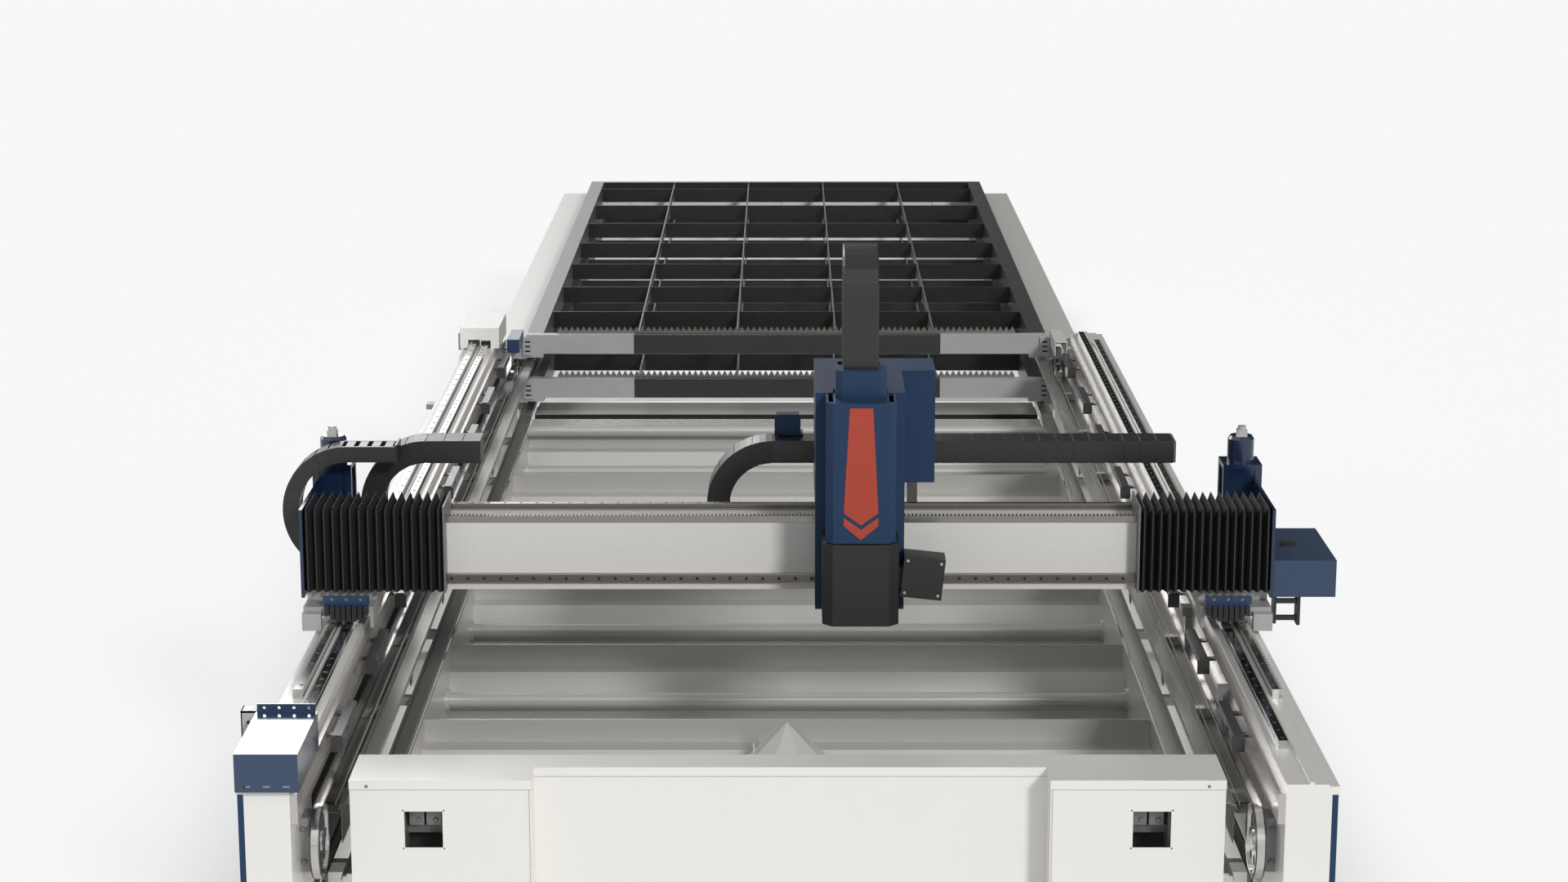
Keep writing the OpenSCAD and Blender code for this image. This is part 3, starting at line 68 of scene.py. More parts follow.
# Heights and lines that everything hangs on, read from the frame
BEAM = span("right_side_beam")
RAILS = span("y_rails")
BEAM_TOP = RAILS[LOW][Z]
BED_Y0 = BEAM[LOW][Y]
WHEELS = span("idler_wheels")
WHEEL_Y = (WHEELS[LOW][Y] + WHEELS[HIGH][Y]) / 2
BELT_ZC = (WHEELS[LOW][Z] + WHEELS[HIGH][Z]) / 2
RAIL_X = 1.600
RACK_BOLT_X = 1.656
CROSS_HALF = 1.765
OPEN_LEFT, OPEN_RIGHT = 1.247, 1.278
PLEATS = 16
BELLOWS_TOP = BEAM_TOP + 0.454
FRONT_RAIL_Z = BEAM_TOP + 0.176
TOP_RAIL_Y = span("crossbeam")[LOW][Y] + 0.205
WINDOW_X, WINDOW_Z = 1.166, BEAM_TOP - 0.226
LINK_P, CHAIN_H, Z_CHAIN_H = 0.062, 0.086, 0.062
RECESS_X, RECESS_D = (-0.820, 0.840), 0.130


# Camera and light

LENS, SENSOR, FAR_CLIP = 71.25, 36.0, 400.0
CAMERA_SIDE, CAMERA_BACK, CAMERA_RISE, CAMERA_TILT = -0.012, 9.196, 3.2, 77.133
SUN_POWER, SUN_ANGLE, SUN_FROM = 1.57, 9, (0.40, -0.85, 0.48)
BACKGROUND = 0.93
WORLD_LIGHT = 0.36
# Brightness that polished faces see from the horizon (0) up to the zenith (1)
SKY_RAMP = ((0.0, 0.62), (0.09, 0.34), (0.2, 0.20), (0.45, 0.24), (0.75, 0.50), (1.0, 0.60))
DEGREES = 57.2958
FLOOR_HALF, FLOOR_GREY = 90.0, 0.26
# The floor's own glow: for light that bounces, for the camera, and for the camera next to the object, where
# ambient occlusion dims it to a painted shadow
FLOOR_GLOW, FLOOR_GLOW_SEEN, SHADOW_GLOW = 0.62, 0.785, 0.06
SHADOW_REACH, SHADOW_SAMPLES = 0.7, 8


def grey(value):
    return (value, value, value, 1)


def make_camera():
    """The photograph's view: low telephoto from the operator's end."""
    data = bpy.data.cameras.new("camera")
    data.sensor_width = SENSOR
    data.lens = LENS
    data.clip_end = FAR_CLIP
    cam = bpy.data.objects.new("camera", data)
    cam.location = (CAMERA_SIDE, BED_Y0 - CAMERA_BACK, BEAM_TOP + CAMERA_RISE)
    cam.rotation_euler = (math.radians(CAMERA_TILT), 0.0, 0.0)
    bpy.context.scene.collection.objects.link(cam)
    bpy.context.scene.camera = cam
    bpy.context.scene.view_settings.view_transform = "Standard"
    bpy.context.scene.view_settings.look = "None"


def feed(tree, socket, value):
    """Gives an input another node's output or a plain value."""
    if isinstance(value, bpy.types.NodeSocket):
        tree.links.new(value, socket)
    else:
        socket.default_value = value


def math_node(tree, operation, a, b=0.0, clamp=False):
    """One Math node. Each input is a socket or a number."""
    node = tree.nodes.new("ShaderNodeMath")
    node.operation = operation
    node.use_clamp = clamp
    for socket, value in zip(node.inputs, (a, b)):
        feed(tree, socket, value)
    return node.outputs[0]


def soft_band(tree, value, low, high, edge):
    """1 between low and high, falling to 0 over the edge width outside them."""
    rise = math_node(tree, "DIVIDE", math_node(tree, "SUBTRACT", value, low - edge), edge, clamp=True)
    fall = math_node(tree, "DIVIDE", math_node(tree, "SUBTRACT", high + edge, value), edge, clamp=True)
    return math_node(tree, "MULTIPLY", rise, fall)


# Boxes that polished faces see: azimuth from the machine's length (left is negative),
# elevation, soft edge, all in degrees, and the brightness that each adds
STUDIO_BOXES = (
    (-62.0, -7.6, 16.6, 36.0, 1.2, 6.0),
    (-7.3, -5.3, 17.8, 19.4, 0.4, 4.0),
    (-12.0, -4.6, 11.4, 16.0, 0.4, 1.6),
    (-170.0, -2.4, 7.0, 60.0, 1.6, 0.6),
    (20.0, 60.0, 28.0, 60.0, 6.0, 0.6),
    (-180.0, -95.0, 8.0, 50.0, 8.0, 0.3),
    (95.0, 180.0, 8.0, 50.0, 8.0, 0.5),
)
# Dark screens, given the same way: the share of the light that each takes away
DARK_SCREENS = ((3.4, 60.0, 4.0, 24.0, 1.8, 0.93), (-0.6, 3.4, 10.8, 13.9, 0.9, 0.85))


def make_world():
    """White to the camera, an even studio to the finishes, and soft boxes to polished faces."""
    world = bpy.data.worlds.new("studio")
    bpy.context.scene.world = world
    world.use_nodes = True
    tree = world.node_tree
    tree.nodes.clear()
    out = tree.nodes.new("ShaderNodeOutputWorld")
    path = tree.nodes.new("ShaderNodeLightPath")
    coord = tree.nodes.new("ShaderNodeTexCoord")
    split = tree.nodes.new("ShaderNodeSeparateXYZ")
    tree.links.new(coord.outputs["Generated"], split.inputs[0])
    x, y, z = split.outputs
    azimuth = math_node(tree, "MULTIPLY", math_node(tree, "ARCTAN2", x, y), DEGREES)
    elevation = math_node(tree, "MULTIPLY", math_node(tree, "ARCSINE", z), DEGREES)
    ramp = tree.nodes.new("ShaderNodeValToRGB")
    while len(ramp.color_ramp.elements) < len(SKY_RAMP):
        ramp.color_ramp.elements.new(0.5)
    for element, (place, value) in zip(ramp.color_ramp.elements, SKY_RAMP):
        element.position = place
        element.color = grey(value)
    tree.links.new(math_node(tree, "DIVIDE", elevation, 90.0, clamp=True), ramp.inputs[0])

    def box_mask(az0, az1, el0, el1, edge):
        return math_node(tree, "MULTIPLY", soft_band(tree, azimuth, az0, az1, edge),
                         soft_band(tree, elevation, el0, el1, edge))

    total = ramp.outputs["Color"]
    for *place, share in DARK_SCREENS:
        left = math_node(tree, "SUBTRACT", 1.0, math_node(tree, "MULTIPLY", box_mask(*place), share))
        total = math_node(tree, "MULTIPLY", total, left)
    for *place, power in STUDIO_BOXES:
        total = math_node(tree, "ADD", total, math_node(tree, "MULTIPLY", box_mask(*place), power))
    plain = tree.nodes.new("ShaderNodeBackground")
    plain.inputs["Color"].default_value = grey(WORLD_LIGHT)
    seen = tree.nodes.new("ShaderNodeBackground")
    seen.inputs["Color"].default_value = grey(BACKGROUND)
    gloss = tree.nodes.new("ShaderNodeBackground")
    tree.links.new(total, gloss.inputs["Color"])
    mix_gloss = tree.nodes.new("ShaderNodeMixShader")
    mix_seen = tree.nodes.new("ShaderNodeMixShader")
    tree.links.new(path.outputs["Is Glossy Ray"], mix_gloss.inputs[0])
    tree.links.new(plain.outputs[0], mix_gloss.inputs[1])
    tree.links.new(gloss.outputs[0], mix_gloss.inputs[2])
    tree.links.new(path.outputs["Is Camera Ray"], mix_seen.inputs[0])
    tree.links.new(mix_gloss.outputs[0], mix_seen.inputs[1])
    tree.links.new(seen.outputs[0], mix_seen.inputs[2])
    tree.links.new(mix_seen.outputs[0], out.inputs["Surface"])


def make_lights():
    """One soft key light, low and from the front right."""
    sun = bpy.data.lights.new("sun", "SUN")
    sun.energy = SUN_POWER
    sun.angle = math.radians(SUN_ANGLE)
    key = bpy.data.objects.new("sun", sun)
    key.rotation_euler = Vector(SUN_FROM).to_track_quat("Z", "Y").to_euler()
    bpy.context.scene.collection.objects.link(key)


def make_floor():
    """Pale floor that keeps the object's cast shadow, with a painted shadow where ambient occlusion dims its
    glow near the object, and fades into the white round it.
    """
    corners = [(u * FLOOR_HALF, v * FLOOR_HALF, 0) for u, v in ((-1, -1), (1, -1), (1, 1), (-1, 1))]
    mesh = bpy.data.meshes.new("floor")
    mesh.from_pydata(corners, [], [(0, 1, 2, 3)])
    floor = bpy.data.objects.new("floor", mesh)
    bpy.context.scene.collection.objects.link(floor)
    mat = bpy.data.materials.new("floor")
    mat.use_nodes = True
    tree = mat.node_tree
    shader = tree.nodes["Principled BSDF"]
    shader.inputs["Base Color"].default_value = grey(FLOOR_GREY)
    shader.inputs["Roughness"].default_value = 0.9
    shader.inputs["Specular IOR Level"].default_value = 0.0
    shader.inputs["Emission Color"].default_value = grey(1)
    path = tree.nodes.new("ShaderNodeLightPath")
    painted_contact_shade = tree.nodes.new("ShaderNodeAmbientOcclusion")
    painted_contact_shade.samples = SHADOW_SAMPLES
    painted_contact_shade.inputs["Distance"].default_value = SHADOW_REACH
    # The glow the camera sees falls from FLOOR_GLOW_SEEN to SHADOW_GLOW as ambient occlusion finds the
    # object: a painted shadow
    seen = mixed(tree, "FLOAT", painted_contact_shade.outputs["AO"], SHADOW_GLOW, FLOOR_GLOW_SEEN)
    glow = mixed(tree, "FLOAT", path.outputs["Is Camera Ray"], FLOOR_GLOW, seen)
    tree.links.new(glow, shader.inputs["Emission Strength"])
    mesh.materials.append(mat)


# Materials

def mixed(tree, kind, factor, a, b):
    """A Mix node of that kind. Each input is a socket or a plain value."""
    node = tree.nodes.new("ShaderNodeMix")
    node.data_type = kind
    sockets = {"FLOAT": (2, 3, 0), "RGBA": (6, 7, 2)}[kind]
    for place, value in ((0, factor), (sockets[0], a), (sockets[1], b)):
        feed(tree, node.inputs[place], value)
    return node.outputs[sockets[2]]


def noise(tree, coord, scale, detail=3.0, stretch=(1, 1, 1)):
    """Noise value over the object's own coordinates, stretched along its axes."""
    place = tree.nodes.new("ShaderNodeMapping")
    place.inputs["Scale"].default_value = stretch
    tree.links.new(coord, place.inputs["Vector"])
    tex = tree.nodes.new("ShaderNodeTexNoise")
    tex.inputs["Scale"].default_value = scale
    tex.inputs["Detail"].default_value = detail
    tree.links.new(place.outputs[0], tex.inputs["Vector"])
    return tex.outputs["Fac"]


NOISE_MIDDLE = (0.32, 0.68)


def ranged(tree, value, low, high):
    """The noise's middle stretched to low and high."""
    node = tree.nodes.new("ShaderNodeMapRange")
    for name, limit in zip(("From Min", "From Max", "To Min", "To Max"), (*NOISE_MIDDLE, low, high)):
        node.inputs[name].default_value = limit
    tree.links.new(value, node.inputs["Value"])
    return node.outputs[0]


def inside(tree, coord, low, high):
    """1 inside a box of the object's own coordinates, 0 outside."""
    centre = tuple((a + b) / 2 for a, b in zip(low, high))
    half = tuple(max((b - a) / 2, 1e-4) for a, b in zip(low, high))
    value = coord
    for operation, other in (("SUBTRACT", centre), ("ABSOLUTE", None), ("DIVIDE", half)):
        node = tree.nodes.new("ShaderNodeVectorMath")
        node.operation = operation
        tree.links.new(value, node.inputs[0])
        if other:
            node.inputs[1].default_value = other
        value = node.outputs[0]
    split = tree.nodes.new("ShaderNodeSeparateXYZ")
    tree.links.new(value, split.inputs[0])
    worst = math_node(tree, "MAXIMUM", split.outputs[0], split.outputs[1])
    worst = math_node(tree, "MAXIMUM", worst, split.outputs[2])
    return math_node(tree, "LESS_THAN", worst, 1.0)


def shade(rgb, factor):
    return tuple(min(1.0, c * factor) for c in rgb) + (1.0,)


GRAIN_SCALE = 25.0
RELIEF_DEPTH = 0.0008
COAT_ROUGH = 0.15


def surface(name, rgb, metallic=0.0, rough=0.4, mottle=0.05, mottle_scale=3.0, stretch=(1, 1, 1),
            rough_spread=0.03, bump=0.05, bump_scale=300.0, coat=0.0, gloss_level=0.5, zones=()):
    """A procedural finish: mottled colour, uneven gloss and fine relief.
    zones are (low, high, rgb, metallic, rough) boxes that are finished otherwise."""
    mat = bpy.data.materials.new(name)
    mat.use_nodes = True
    tree = mat.node_tree
    shader = tree.nodes["Principled BSDF"]
    coord = tree.nodes.new("ShaderNodeTexCoord").outputs["Object"]
    blotch = noise(tree, coord, mottle_scale, 4.0, stretch)
    grain = noise(tree, coord, GRAIN_SCALE, 2.0, stretch)
    colour = mixed(tree, "RGBA", blotch, shade(rgb, 1 - mottle), shade(rgb, 1 + mottle))
    gloss = ranged(tree, grain, max(0.03, rough - rough_spread), min(1.0, rough + rough_spread))
    metal = metallic
    for low, high, zone_rgb, zone_metal, zone_rough in zones:
        mask = inside(tree, coord, low, high)
        zone_colour = mixed(tree, "RGBA", blotch, shade(zone_rgb, 1 - mottle), shade(zone_rgb, 1 + mottle))
        colour = mixed(tree, "RGBA", mask, colour, zone_colour)
        gloss = mixed(tree, "FLOAT", mask, gloss, zone_rough)
        if zone_metal != metallic or isinstance(metal, bpy.types.NodeSocket):
            metal = mixed(tree, "FLOAT", mask, metal, zone_metal)
    tree.links.new(colour, shader.inputs["Base Color"])
    tree.links.new(gloss, shader.inputs["Roughness"])
    feed(tree, shader.inputs["Metallic"], metal)
    shader.inputs["Specular IOR Level"].default_value = gloss_level
    shader.inputs["Coat Weight"].default_value = coat
    shader.inputs["Coat Roughness"].default_value = COAT_ROUGH
    relief = tree.nodes.new("ShaderNodeBump")
    relief.inputs["Strength"].default_value = bump
    relief.inputs["Distance"].default_value = RELIEF_DEPTH
    tree.links.new(noise(tree, coord, bump_scale, 2.0, stretch), relief.inputs["Height"])
    tree.links.new(relief.outputs[0], shader.inputs["Normal"])
    return mat


CREAM = (0.84, 0.825, 0.785)
BLUE = (0.021, 0.049, 0.110)
NAVY = (0.007, 0.021, 0.062)
RED = (0.46, 0.072, 0.045)
BRIGHT = (0.62, 0.62, 0.61)
BEAM_WHITE = (0.76, 0.75, 0.715)
NEAR_BLACK = (0.012, 0.012, 0.013)
DARK_GREY = (0.10, 0.10, 0.10)
ALONG_Y = (1.0, 0.04, 1.0)
ALONG_X = (0.04, 1.0, 1.0)
# Further out than anything on the machine
WIDE = 9.0
# Relief of smooth sheet and machined metal: long, shallow waves
SHEET = {"bump": 0.004, "bump_scale": 7.0}


def zone(x=(-WIDE, WIDE), y=(-WIDE, WIDE), z=(-WIDE, WIDE)):
    """Box of a finish zone, open on the sides that aren't given."""
    return (x[0], y[0], z[0]), (x[1], y[1], z[1])


def slot_materials():
    """One finish for each of the record's material slots, and the finishes of smaller pieces."""
    return {
        "cream_paint": surface("cream_paint", CREAM, rough=0.22, mottle=0.01, rough_spread=0.01, **SHEET),
        "beam_paint": surface("beam_paint", BEAM_WHITE, rough=0.28, mottle=0.015, rough_spread=0.01, **SHEET),
        "blue_paint": surface("blue_paint", BLUE, rough=0.34, mottle=0.03, gloss_level=0.18, **SHEET),
        "navy_paint": surface("navy_paint", NAVY, rough=0.2, mottle=0.08, coat=0.3, **SHEET),
        "red_paint": surface("red_paint", RED, rough=0.45, mottle=0.02, gloss_level=0.2, **SHEET),
        "steel": surface("steel", BRIGHT, 1.0, 0.12, mottle=0.03, rough_spread=0.01, stretch=ALONG_Y,
                         mottle_scale=6, **SHEET),
        "dark_steel": surface("dark_steel", DARK_GREY, 0.7, 0.32, mottle=0.06, mottle_scale=6, **SHEET),
        "grey_metal": surface("grey_metal", (0.27, 0.27, 0.275), 0.3, 0.38, mottle=0.04, mottle_scale=6,
                              **SHEET),
        "black_plastic": surface("black_plastic", (0.021, 0.021, 0.022), rough=0.36, mottle=0.06, bump=0.02),
        "bellows_cloth": surface("bellows_cloth", (0.0155, 0.0165, 0.0165), rough=0.8, mottle=0.2,
                                 mottle_scale=30, bump=0.12, bump_scale=900, gloss_level=0.3),
        "black_paint": surface("black_paint", (0.017, 0.017, 0.018), rough=0.42, mottle=0.05, bump=0.01),
        "chain": surface("chain", (0.024, 0.024, 0.0235), rough=0.26, mottle=0.05, rough_spread=0.01,
                         **SHEET),
        "cloth_edge": surface("cloth_edge", (0.052, 0.054, 0.054), rough=0.8, mottle=0.3, mottle_scale=60,
                              bump=0.1),
        # Near-black finish of screw caps, and of the flat marks for holes and slots, where it is painted
        # shade
        "black_cap_and_hole_shade": surface("black_cap_and_hole_shade", NEAR_BLACK, rough=0.5, mottle=0.1, bump=0.05),
        "strip_steel": surface("strip_steel", (0.36, 0.34, 0.32), 0.9, 0.25, mottle=0.04, stretch=ALONG_X,
                               **SHEET),
        "seam": surface("seam", (0.42, 0.41, 0.385), rough=0.5, mottle=0.05, bump=0.01),
        "bolt_grey": surface("bolt_grey", (0.22, 0.22, 0.22), 0.5, 0.38, mottle=0.08, bump=0.05),
        "bolt_pale": surface("bolt_pale", (0.55, 0.55, 0.54), 0.8, 0.3, mottle=0.05, bump=0.05),
        "bracket_grey": surface("bracket_grey", (0.50, 0.50, 0.49), 0.3, 0.4, mottle=0.05, bump=0.05),
        # Near-black finish of pieces put where there is only shade: painted shade
        "shadow_sheet": surface("shadow_sheet", (0.02, 0.02, 0.02), 0.2, 0.6, mottle=0.2, bump=0.05),
        "hopper_sheet": surface("hopper_sheet", (0.55, 0.54, 0.515), 0.3, 0.34, mottle=0.03, stretch=ALONG_X,
                                mottle_scale=3, **SHEET),
        "rail_cap": surface("rail_cap", DARK_GREY, 0.5, 0.45, mottle=0.05, **SHEET),
        "frame_grey": surface("frame_grey", (0.20, 0.20, 0.20), 0.3, 0.4, mottle=0.05, **SHEET),
        "track_sheet": surface("track_sheet", (0.29, 0.285, 0.27), 0.5, 0.42, mottle=0.06, stretch=ALONG_Y,
                               mottle_scale=3, rough_spread=0.01, **SHEET),
        # Pale finish of the right beam liner: painted light
        "track_painted_light": surface("track_painted_light", (0.58, 0.57, 0.55), 0.3, 0.35, mottle=0.05, stretch=ALONG_Y,
                              **SHEET),
        # Pale finish of the strips that paint the fold edges' highlights
        "fold_highlight": surface("fold_highlight", (0.66, 0.63, 0.60), 0.3, 0.35, mottle=0.05, stretch=ALONG_Y,
                             **SHEET),
    }


# Lines of the pallets, the belts and the head's side, where a finish changes
PALLET_FRONT = 0.0755
PALLET_BAR_PITCH, PALLET_BAR_HALF = 0.27027, 0.006
# Span of the pallets' left side bar, which alone takes a lighter metallic grey: a painted reflection
PALLET_LEFT_BAR = (-1.6, -1.322)
PALLET_DARK_FRONT = (-0.83, 0.84)
BELT_STRIP = (1.4855, 1.5095)
CLAMP_X, CLAMP_DEPTH = (-0.2, 0.2), 0.0125
SCRAPER_RUBBER = 0.0262
MOTOR_PLUG = 0.0395
BOX_LID, BOX_BASE = 0.0158, 0.1128
CONE_DROP = 0.545
COVER_FLANGE = 0.0157


def node_materials():
    """Finishes of the nodes whose solids don't all share their slot's finish."""
    front = span("upper_pallet_frame")[LOW][Y] + PALLET_FRONT
    bars = [zone(x=(k * PALLET_BAR_PITCH - PALLET_BAR_HALF, k * PALLET_BAR_PITCH + PALLET_BAR_HALF),
                 y=(front, WIDE)) for k in (-3, -1, 1, 3)]
    pallet = surface("pallet_frame", NEAR_BLACK, 0.0, 0.34, mottle=0.12, mottle_scale=8, bump=0.02, zones=(
        [(*bar, (0.16, 0.16, 0.165), 0.6, 0.35) for bar in bars] + [
            # Lighter metallic grey on the left side bar only, while the right side bar stays near-black:
            # painted reflection
            (*zone(x=PALLET_LEFT_BAR, y=(front, WIDE)), (0.14, 0.144, 0.155), 0.75, 0.42),
            (*zone(y=(-WIDE, front)), (0.46, 0.455, 0.465), 0.15, 0.42),
            (*zone(x=PALLET_DARK_FRONT, y=(-WIDE, front)), (0.035, 0.035, 0.036), 0.1, 0.45)]))
    slat = surface("pallet_slat", (0.20, 0.175, 0.155), 0.4, 0.45, mottle=0.25, mottle_scale=30, bump=0.1)
    clamp_z = span("x_chain_upper")[HIGH][Z] - CLAMP_DEPTH
    strips = [zone(x=tuple(sorted(sign * x for x in BELT_STRIP))) for sign in (-1, 1)]
    lid_z = span("control_box")[HIGH][Z] - BOX_LID
    scraper_z = span("crossbeam")[LOW][Z] - SCRAPER_RUBBER
    motor_top = span("servo_motors")[HIGH][Z] - MOTOR_PLUG
    cover_x = span("far_left_cover")[LOW][X] + COVER_FLANGE
    own = {
        "upper_pallet_frame": pallet, "lower_pallet_frame": pallet,
        "upper_pallet_slats": slat, "lower_pallet_slats": slat,
        "hopper_panels": FINISH["hopper_sheet"],
    }
    # Colour, metal, roughness and the rest of each node's own finish
    for name, rgb, metallic, rough, rest in (
            ("extraction_duct", (0.50, 0.49, 0.465), 0.3, 0.34, {
                **SHEET, "stretch": ALONG_X, "mottle": 0.03,
                "zones": [(*zone(z=(BEAM_TOP - CONE_DROP, WIDE)), (0.66, 0.655, 0.63), 0.1, 0.3)]}),
            ("pallet_tracks", (0.60, 0.585, 0.56), 0.35, 0.28, {
                **SHEET, "stretch": ALONG_Y, "mottle": 0.03, "mottle_scale": 4,
                # The left half is darker and more metallic than the right: painted shade on that side
                "zones": [(*zone(x=(-WIDE, 0.0)), (0.30, 0.295, 0.28), 0.5, 0.42)]}),
            ("left_end_cover", BLUE, 0.0, 0.14, {
                **SHEET, "mottle": 0.02, "rough_spread": 0.01, "coat": 0.5}),
            ("y_racks", (0.55, 0.545, 0.53), 0.95, 0.16, {
                **SHEET, "stretch": ALONG_Y, "mottle": 0.05, "rough_spread": 0.01}),
            ("side_bars", (0.56, 0.53, 0.51), 0.6, 0.28, {
                **SHEET, "stretch": ALONG_Y, "mottle": 0.04}),
            ("x_rails", (0.33, 0.31, 0.295), 0.9, 0.22, {
                **SHEET, "stretch": ALONG_X, "mottle": 0.04}),
            ("belt_hoods", CREAM, 0.0, 0.34, {
                "mottle": 0.012, "coat": 0.3, "bump": 0.03,
                "zones": [(*zone(x=(-WIDE, 0.0)), BLUE, 0.0, 0.36)]}),
            ("chain_support", (0.18, 0.18, 0.185), 0.5, 0.36, {
                "bump": 0.03, "zones": [(*zone(x=CLAMP_X, z=(clamp_z, WIDE)), BLUE, 0.0, 0.36)]}),
            ("drive_belts", (0.10, 0.095, 0.09), 0.9, 0.25, {
                **SHEET, "stretch": ALONG_Y, "mottle": 0.08, "rough_spread": 0.01,
                "zones": [(*strip, (0.60, 0.58, 0.56), 1.0, 0.15) for strip in strips]}),
            ("control_box", BLUE, 0.0, 0.36, {
                "mottle": 0.05, "coat": 0.25, "bump": 0.05,
                "zones": [(*zone(z=(-WIDE, BEAM_TOP + BOX_BASE)), NEAR_BLACK, 0.1, 0.4),
                          (*zone(z=(lid_z, WIDE)), NEAR_BLACK, 0.1, 0.4)]}),
            ("rail_scrapers", BLUE, 0.0, 0.36, {
                "mottle": 0.05, "bump": 0.05,
                "zones": [(*zone(z=(-WIDE, scraper_z)), (0.009, 0.0095, 0.010), 0.0, 0.55)]}),
            ("servo_motors", NAVY, 0.0, 0.2, {
                "mottle": 0.1, "coat": 0.5, "bump": 0.05,
                "zones": [(*zone(z=(motor_top, WIDE)), (0.52, 0.51, 0.49), 0.0, 0.35)]}),
            ("far_left_cover", CREAM, 0.0, 0.34, {
                "mottle": 0.012, "coat": 0.3, "bump": 0.03,
                "zones": [(*zone(x=(-WIDE, cover_x)), (0.40, 0.40, 0.39), 0.3, 0.4)]}),
            ("carriages", (0.42, 0.42, 0.41), 0.25, 0.4, {"mottle": 0.05, "bump": 0.03})):
        own[name] = surface(name, rgb, metallic, rough, **rest)
    return own


def dress_nodes(finishes):
    """Each CAD node takes its slot's finish, or its own."""
    slots = {entry["node"]: entry["material_slot"] for entry in frame["record"]["subparts"]}
    own = node_materials()
    for name, obj in NODES.items():
        paint(obj, own[name] if name in own else finishes[slots[name]])


def paint(obj, material):
    if not obj.material_slots:
        obj.data.materials.append(material)
    for entry in obj.material_slots:
        entry.material = material


# Small solids gathered into one mesh

class Solids:
    """Closed solids that end up in one piece."""

    def __init__(self):
        self.verts = []
        self.faces = []

    def add(self, verts, faces):
        start = len(self.verts)
        self.verts += verts
        self.faces += [tuple(start + i for i in face) for face in faces]

    def box(self, low, high):
        (x0, y0, z0), (x1, y1, z1) = low, high
        self.add([(x, y, z) for x in (x0, x1) for y in (y0, y1) for z in (z0, z1)],
                 [(0, 1, 3, 2), (4, 6, 7, 5), (0, 4, 5, 1), (2, 3, 7, 6), (0, 2, 6, 4), (1, 5, 7, 3)])

    def disc(self, centre, radius, depth, axis, sides=12):
        """Round pin whose base is at centre, standing along the axis. A negative depth goes the other way."""
        u, v = [a for a in (X, Y, Z) if a != axis]
        rings = []
        for scale, rise in ((1.0, 0.0), (1.0, depth * 0.7), (0.82, depth)):
            ring = []
            for i in range(sides):
                angle = 2 * math.pi * i / sides
                point = list(centre)
                point[u] += radius * scale * math.cos(angle)
                point[v] += radius * scale * math.sin(angle)
                point[axis] += rise
                ring.append(tuple(point))
            rings.append(ring)
        self.loft(rings)

    def loft(self, rings):
        """Rings of equal length joined to a closed tube with flat ends."""
        count = len(rings[0])
        verts = [point for ring in rings for point in ring]
        faces = [tuple(range(count))[::-1], tuple(range(len(verts) - count, len(verts)))]
        for k in range(len(rings) - 1):
            for i in range(count):
                j = (i + 1) % count
                faces.append((k * count + i, k * count + j, (k + 1) * count + j, (k + 1) * count + i))
        self.add(verts, faces)

    def piece(self, name, material, body, slot):
        mesh = bpy.data.meshes.new(name)
        mesh.from_pydata(self.verts, [], self.faces)
        shell = bmesh.new()
        shell.from_mesh(mesh)
        bmesh.ops.recalc_face_normals(shell, faces=shell.faces)
        shell.to_mesh(mesh)
        shell.free()
        mesh.materials.append(material)
        obj = bpy.data.objects.new(name, mesh)
        bpy.context.scene.collection.objects.link(obj)
        if body:
            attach(obj, body)
        return obj


def spread(first, last, pitch):
    """Places at that pitch from first up to last."""
    return [first + i * pitch for i in range(int((last - first) / pitch + 1e-6) + 1)]


# Screws

Y_SCREW_PITCH = 0.08
RACK_BOLT_PITCH = 0.125
X_SCREW_PITCH = 0.06
X_SCREW_REACH, X_BOLT_REACH = 1.71, 1.68
CAP_RISE = 0.0006
FRONT_CAP_R, TOP_CAP_R, X_BOLT_R, LID_SCREW_R, SENSOR_SCREW_R = 0.0062, 0.0055, 0.0048, 0.0055, 0.0055
LID_SCREW_IN, LID_SCREW_DOWN = 0.056, 0.020
BEARING_BOLT_IN, BEARING_BOLT_RISE = 0.013, 0.055
BEARING_FACE = 0.045
SENSOR_TURN = math.radians(6)
SENSOR_CORNER, SENSOR_FOOT = 0.006, 0.190
SENSOR_SCREWS = ((0.014, 0.016), (0.014, 0.134), (0.134, 0.016), (0.134, 0.134))


